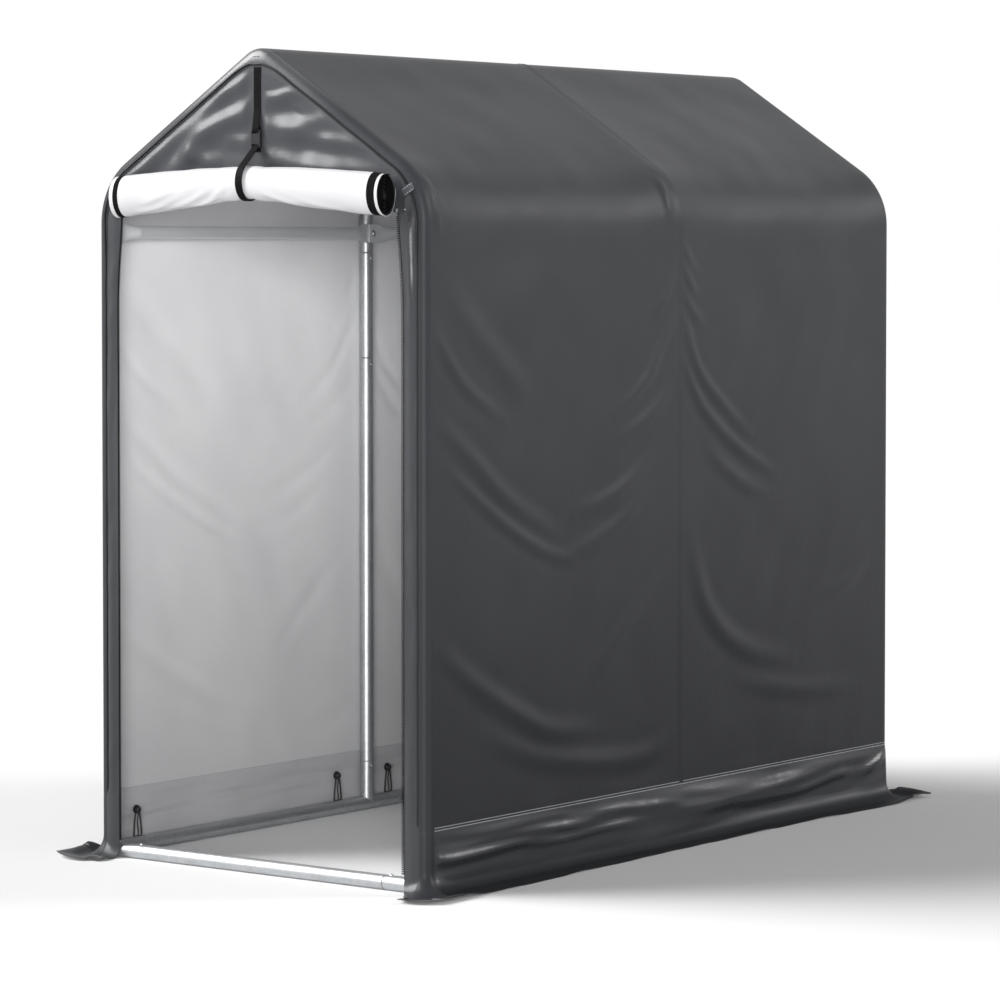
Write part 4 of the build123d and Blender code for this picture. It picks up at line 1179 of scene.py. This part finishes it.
# The loop leaves the lower bar in a straight line that touches the roll, and goes round it.
loop_deep = ROLL_RADIUS * ROLL_DEPTH_SHARE + STRAP_CLEAR
loop_tall = ROLL_RADIUS * ROLL_TALL_SHARE + STRAP_CLEAR
loop_z = ROLL_HEIGHT + MIDDLE_RISE - 0.0006
rise, ahead = (LOWER_BAR - loop_z) / loop_tall, (BUCKLE_Y - BAR_TURN - ROLL_Y) / loop_deep
touch = math.atan2(rise, ahead) + math.acos(1 / math.hypot(rise, ahead))
around = np.linspace(touch, 2 * math.pi, 60)
behind_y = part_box("roll_strap_loop")[1].y - WEBBING_THICKNESS / 2
loop_path = [
    (BUCKLE_Y + BAR_TURN, LOWER_BAR - 0.012),
    *bar_turn(LOWER_BAR, 0, 180),
    *((ROLL_Y + loop_deep * math.cos(a), loop_z + loop_tall * math.sin(a)) for a in around),
    (behind_y, GABLE_FOOT + 0.03),
    (behind_y, STRAP_TOP),
]
for name, path in (("roll_strap_upper", upper_path), ("roll_strap_loop", loop_path)):
    strap, length = ribbon(f"{name}_webbing", path)
    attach(strap, "root")
    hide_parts(name)

# Buckle: side-release clip and socket of moulded acetal, black with a fine satin grain.
# The eyelets are moulded of the same.
acetal, tree, shader = new_material(
    "moulded_acetal_buckle", {"Roughness": 0.38, "Specular IOR Level": 0.25}
)
place = add_node(tree, "ShaderNodeTexCoord").outputs["Object"]
grain = add_node(tree, "ShaderNodeTexNoise", {"Scale": 1500.0, "Detail": 2.0}, {"Vector": place})
worn = add_node(tree, "ShaderNodeTexNoise", {"Scale": 60.0, "Detail": 3.0}, {"Vector": place})
stops = [(0, linear("#18181b")), (1, linear("#2a2a2e"))]
tone = add_node(tree, "ShaderNodeValToRGB", links={0: worn.outputs["Fac"]}, stops=stops)
relief = {"Strength": 0.2, "Distance": 0.0002}
bump = add_node(tree, "ShaderNodeBump", relief, {"Height": grain.outputs["Fac"]})
tree.links.new(tone.outputs[0], shader.inputs["Base Color"])
tree.links.new(bump.outputs[0], shader.inputs["Normal"])
for name in ("buckle_socket", "buckle_clip", "skirt_eyelets"):
    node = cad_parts[name]
    node.data.materials.clear()
    node.data.materials.append(acetal)

# Keeper tab: a short doubled end of webbing, sewn into the seam over the right jamb. Its
# cut end is folded back and stitched.
keeper_webbing = woven_band(
    "woven_polyester_grey_webbing", "#3c3d40", DRAWN_RIB_MM, {"Roughness": 0.45, "Specular IOR Level": 0.4}
)
keeper_low, keeper_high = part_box("keeper_tab")
KEEPER_X = (keeper_low.x + keeper_high.x) / 2 + 0.010
KEEPER_Y = keeper_low.y - 0.0035
KEEPER_Z = (keeper_low.z + keeper_high.z) / 2 + 0.005
KEEPER_LENGTH = 0.034
KEEPER_WIDTH = 0.019
KEEPER_THICKNESS = 0.0014
KEEPER_ANGLE = math.radians(30)
along, across = np.meshgrid(np.linspace(-0.5, 0.5, 14), np.linspace(-0.5, 0.5, 8), indexing="ij")
corner_round = 1 - 0.10 * smooth((np.abs(along) - 0.36) / 0.14)
a = along * KEEPER_LENGTH
b = across * KEEPER_WIDTH * corner_round
keeper_grid = np.stack(
    [
        KEEPER_X + a * math.cos(KEEPER_ANGLE) - b * math.sin(KEEPER_ANGLE),
        KEEPER_Y - 0.0006 * np.sin(np.pi * (along + 0.5)) - 0.0004 * (np.abs(across) < 0.4),
        KEEPER_Z + a * math.sin(KEEPER_ANGLE) + b * math.cos(KEEPER_ANGLE),
    ],
    2,
)
flat = np.stack([b, a], 2)
keeper = sheet_object("keeper_tab_webbing", keeper_grid, [keeper_webbing], flat, KEEPER_THICKNESS)
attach(keeper, "root")
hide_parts("keeper_tab")

# Elastics: loops of braided shock cord behind each hoop's foot. Each passes through an
# eyelet inside the wall, ends in a moulded ball, and grips the top of the ground rail.
eyelet_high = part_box("skirt_eyelets")[1]
elastic_low, elastic_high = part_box("skirt_elastics")
EYELET_RADIUS = 0.011
EYELET_HEIGHT = eyelet_high.z - EYELET_RADIUS
ELASTIC_X = elastic_high.x - 0.002
ELASTIC_TOP = EYELET_HEIGHT + 0.002
ELASTIC_FOOT = elastic_low.z + 0.002
ELASTIC_PLACES = [0.105, eyelet_high.y - EYELET_RADIUS]
CORD_RADIUS = 0.0021
# A loop as (distance along the wall, height), and the ball that ends it as (radius, depth).
LOOP = [
    (0.000, ELASTIC_TOP),
    (-0.008, 0.085),
    (-0.0135, ELASTIC_FOOT + 0.012),
    (-0.012, ELASTIC_FOOT),
    (0.0, ELASTIC_FOOT - 0.0008),
    (0.012, ELASTIC_FOOT),
    (0.0135, ELASTIC_FOOT + 0.012),
    (0.008, 0.085),
    (0.001, ELASTIC_TOP),
]
BALL = [
    (0.0010, 0.0),
    (0.0056, 0.0006),
    (0.0080, 0.0030),
    (0.0078, 0.0062),
    (0.0050, 0.0088),
    (0.0012, 0.0095),
]

shock_cord, tree, shader = new_material("braided_elastic_cord", {"Roughness": 0.65})
place = add_node(tree, "ShaderNodeTexCoord").outputs["Object"]
# Strands of the braid are 0.8 mm wide.
braid = add_node(tree, "ShaderNodeTexVoronoi", {"Scale": 1250.0}, {"Vector": place})
stops = [(0, linear("#202023")), (1, linear("#0d0d0f"))]
tone = add_node(tree, "ShaderNodeValToRGB", links={0: braid.outputs["Distance"]}, stops=stops)
relief = {"Strength": 0.6, "Distance": 0.0003}
bump = add_node(tree, "ShaderNodeBump", relief, {"Height": braid.outputs["Distance"]})
tree.links.new(tone.outputs[0], shader.inputs["Base Color"])
tree.links.new(bump.outputs[0], shader.inputs["Normal"])


def lathe(profile, place, axis, segments=20):
    """Points and faces of a turned shape. profile lists (radius, distance along the axis)."""
    axis = np.array(axis, float)
    first = np.cross(axis, [0.3, 0.9, 0.2] if abs(axis[1]) < 0.9 else [1, 0, 0])
    first /= np.linalg.norm(first)
    second = np.cross(axis, first)
    points = []
    for radius, height in profile:
        for turn in np.linspace(0, 2 * np.pi, segments, endpoint=False):
            out = radius * (math.cos(turn) * first + math.sin(turn) * second)
            points.append(np.array(place, float) + height * axis + out)
    faces = []
    for i in range(len(profile) - 1):
        for k in range(segments):
            a, b = i * segments + k, i * segments + (k + 1) % segments
            faces.append((a, b, b + segments, a + segments))
    faces.append(tuple(range(segments - 1, -1, -1)))
    faces.append(tuple(range((len(profile) - 1) * segments, len(profile) * segments)))
    return points, faces


cords, balls = [], []
for side in (-1, 1):
    for y in (y * sign for y in ELASTIC_PLACES for sign in (-1, 1)):
        x = side * ELASTIC_X
        cords.append(round_tube([(x, y + v, z) for v, z in curve(LOOP, 50)], CORD_RADIUS))
        # A thinner strand hangs down the middle of the loop, a little wavy.
        heights = np.linspace(ELASTIC_TOP, ELASTIC_FOOT + 0.001, 10)
        middle = [(x - side * 0.0008, y + 0.0015 * math.sin(k), z) for k, z in enumerate(heights)]
        cords.append(round_tube(middle, 0.8 * CORD_RADIUS))
        balls.append(lathe(BALL, (x + side * 0.0015, y, EYELET_HEIGHT), (-side, 0, 0)))
for name, parts, material, finish in (
    ("skirt_elastic_cords", cords, shock_cord, "elastic"),
    ("skirt_elastic_balls", balls, acetal, "buckle_plastic"),
):
    piece = mesh_object(name, *joined(parts), [material])
    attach(piece, "root")
    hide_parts("skirt_elastics")

# Bolts and screws, zinc plated: a hexagon head on a washer holds each end of the eave rails,
# and a pan head screw pins each slip joint of the legs and of the ground frame.
plated, tree, shader = new_material("zinc_plated_screw", {"Metallic": 1.0, "Roughness": 0.22})
place = add_node(tree, "ShaderNodeTexCoord").outputs["Object"]
haze = add_node(tree, "ShaderNodeTexNoise", {"Scale": 500.0, "Detail": 3.0}, {"Vector": place})
stops = [(0, linear("#b4b6b8")), (1, linear("#dfe1e3"))]
tone = add_node(tree, "ShaderNodeValToRGB", links={0: haze.outputs["Fac"]}, stops=stops)
tree.links.new(tone.outputs[0], shader.inputs["Base Color"])

# Turned outlines as (radius, height over the face that the fixing sits on).
WASHER = [(0.0088, 0.0), (0.0090, 0.0003), (0.0088, 0.0012), (0.0050, 0.0013)]
HEXAGON = [(0.0061, 0.0012), (0.0061, 0.0048), (0.0054, 0.0054), (0.0020, 0.0056)]
PAN_HEAD = [(0.0042, -0.0004), (0.0042, 0.0006), (0.0038, 0.0016), (0.0026, 0.0023), (0.0008, 0.0025)]
rail_low, rail_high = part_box("rear_eave_rails")
RAIL_Z = (rail_low.z + rail_high.z) / 2
leg_low, leg_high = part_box("rear_upper_legs")
TUBE_RADIUS = 0.0175
LEG_FACE = leg_high.x - 2 * TUBE_RADIUS
LUG_THICKNESS = 0.003
LUG_GAP = 0.0003
SCREW_HEIGHTS = (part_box("rear_lower_legs")[0].z - 0.014, leg_low.z - 0.018, leg_high.z - 0.066)
BAR_SCREW_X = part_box("rear_ground_bar")[1].x + 0.016

fixings = []
for side in (-1, 1):
    for y in (-HOOP_Y, 0.0, HOOP_Y):
        # At the middle hoop, the ends of two rails lie on each other.
        lugs = (LUG_GAP + LUG_THICKNESS) * (2 if y == 0 else 1)
        place = (side * (LEG_FACE - lugs), y, RAIL_Z)
        fixings.append(lathe(WASHER, place, (-side, 0, 0)))
        fixings.append(lathe(HEXAGON, place, (-side, 0, 0), 6))
    for y in (-HOOP_Y, 0.0, HOOP_Y):
        for z in SCREW_HEIGHTS:
            fixings.append(lathe(PAN_HEAD, (side * LEG_FACE, y, z), (-side, 0, 0)))
    for y in (-HOOP_Y, HOOP_Y):
        fixings.append(lathe(PAN_HEAD, (side * BAR_SCREW_X, y, 2 * TUBE_RADIUS), (0, 0, 1)))
screws = mesh_object("bolts_and_screws", *joined(fixings), [plated])
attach(screws, "root")

# Stitching: a double row of pale polyester thread joins the skirt to the cover, one row on
# each side of the cover's edge. A stitch is 5 mm long. The thread is 1 mm thick and is drawn
# twice as wide.
STITCH_PITCH = 0.0066
STITCH_LENGTH = 0.0052
STITCH_WIDTH = 0.0022
STITCH_HEIGHT = 0.00065
ROW_FROM_SEAM = 0.004
thread, tree, shader = new_material("polyester_thread_pale_grey", {"Roughness": 0.55})
place = add_node(tree, "ShaderNodeTexCoord").outputs["Object"]
plies = {"Scale": 180.0, "Distortion": 2.0, "bands_direction": "DIAGONAL"}
twist = add_node(tree, "ShaderNodeTexWave", plies, {"Vector": place})
stops = [(0, linear("#8e8f92")), (1, linear("#b8b9bc"))]
tone = add_node(tree, "ShaderNodeValToRGB", links={0: twist.outputs["Fac"]}, stops=stops)
tree.links.new(tone.outputs[0], shader.inputs["Base Color"])


def stitches(line, outward, width=STITCH_WIDTH):
    """Row of stitches along a line of points, each sunk into the cloth at both its ends."""
    step = np.concatenate([[0], np.cumsum(np.linalg.norm(np.diff(line, axis=0), axis=1))])
    middles = np.arange(STITCH_PITCH, step[-1] - STITCH_PITCH, STITCH_PITCH)

    def at(places, values):
        return np.stack([np.interp(places, step, values[:, k]) for k in range(3)], 1)

    a, b = at(middles - STITCH_LENGTH / 2, line), at(middles + STITCH_LENGTH / 2, line)
    out = at(middles, outward)
    out /= np.linalg.norm(out, axis=1, keepdims=True)
    wide = np.cross(b - a, out)
    wide /= np.linalg.norm(wide, axis=1, keepdims=True)
    parts = []
    for a, b, out, wide in zip(a, b, out, wide):
        centre = (a + b) / 2
        points = [a, b]
        for share in (0.3, 0.7):
            middle = a + share * (b - a)
            points += [middle + wide * width / 2, middle + out * STITCH_HEIGHT, middle - wide * width / 2]
        faces = [(0, 2, 3), (0, 3, 4), (2, 5, 6, 3), (3, 6, 7, 4), (5, 1, 6), (6, 1, 7)]
        faces += [(4, 2, 0), (7, 1, 5), (4, 7, 5, 2)]
        parts.append((points, faces))
    return parts


# The two front corners have no seam: there the cover's turned edge runs on down.
stitched = foot_own < 0.9
foot_line, way_out = foot_line[stitched], way_out[stitched]
skirt_grid, skirt_fall = skirt_grid[:, stitched], skirt_fall[:, stitched]
outward = np.concatenate([way_out, 0 * way_out[:, :1]], 1)
# The upper row lies on the cover, as far out as that stands.
upper_row = np.concatenate([foot_line, np.full((len(foot_line), 1), SEAM_HEIGHT + ROW_FROM_SEAM)], 1)
wall_place = np.array([hoop_reach - ROW_FROM_SEAM])
stand = np.array([float(cover_lift(wall_place, np.array([y]))[0]) for y in foot_line[:, 1]])
beside_wall = np.abs(way_out[:, 0]) > 0.7
upper_row[:, :2] += way_out * (np.where(beside_wall, stand, 0) + 0.0001)[:, None]
# The lower row lies on the skirt.
level = LAP + ROW_FROM_SEAM
lower_row = np.empty((len(foot_line), 3))
for k in range(len(foot_line)):
    for axis in range(3):
        lower_row[k, axis] = np.interp(level, skirt_fall[:, k], skirt_grid[:, k, axis])
seam_rows = stitches(upper_row, outward) + stitches(lower_row, outward)
keeper_rows = []
for row in (1, 6):
    forwards = np.tile([0.0, -1.0, 0.0], (len(keeper_grid), 1))
    keeper_rows += stitches(keeper_grid[:, row], forwards, 0.0016)
tab_seam = mesh_object("keeper_tab_stitches", *joined(keeper_rows), [thread], False)
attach(tab_seam, "root")
seam = mesh_object("skirt_seam_stitches", *joined(seam_rows), [thread], False)
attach(seam, "root")
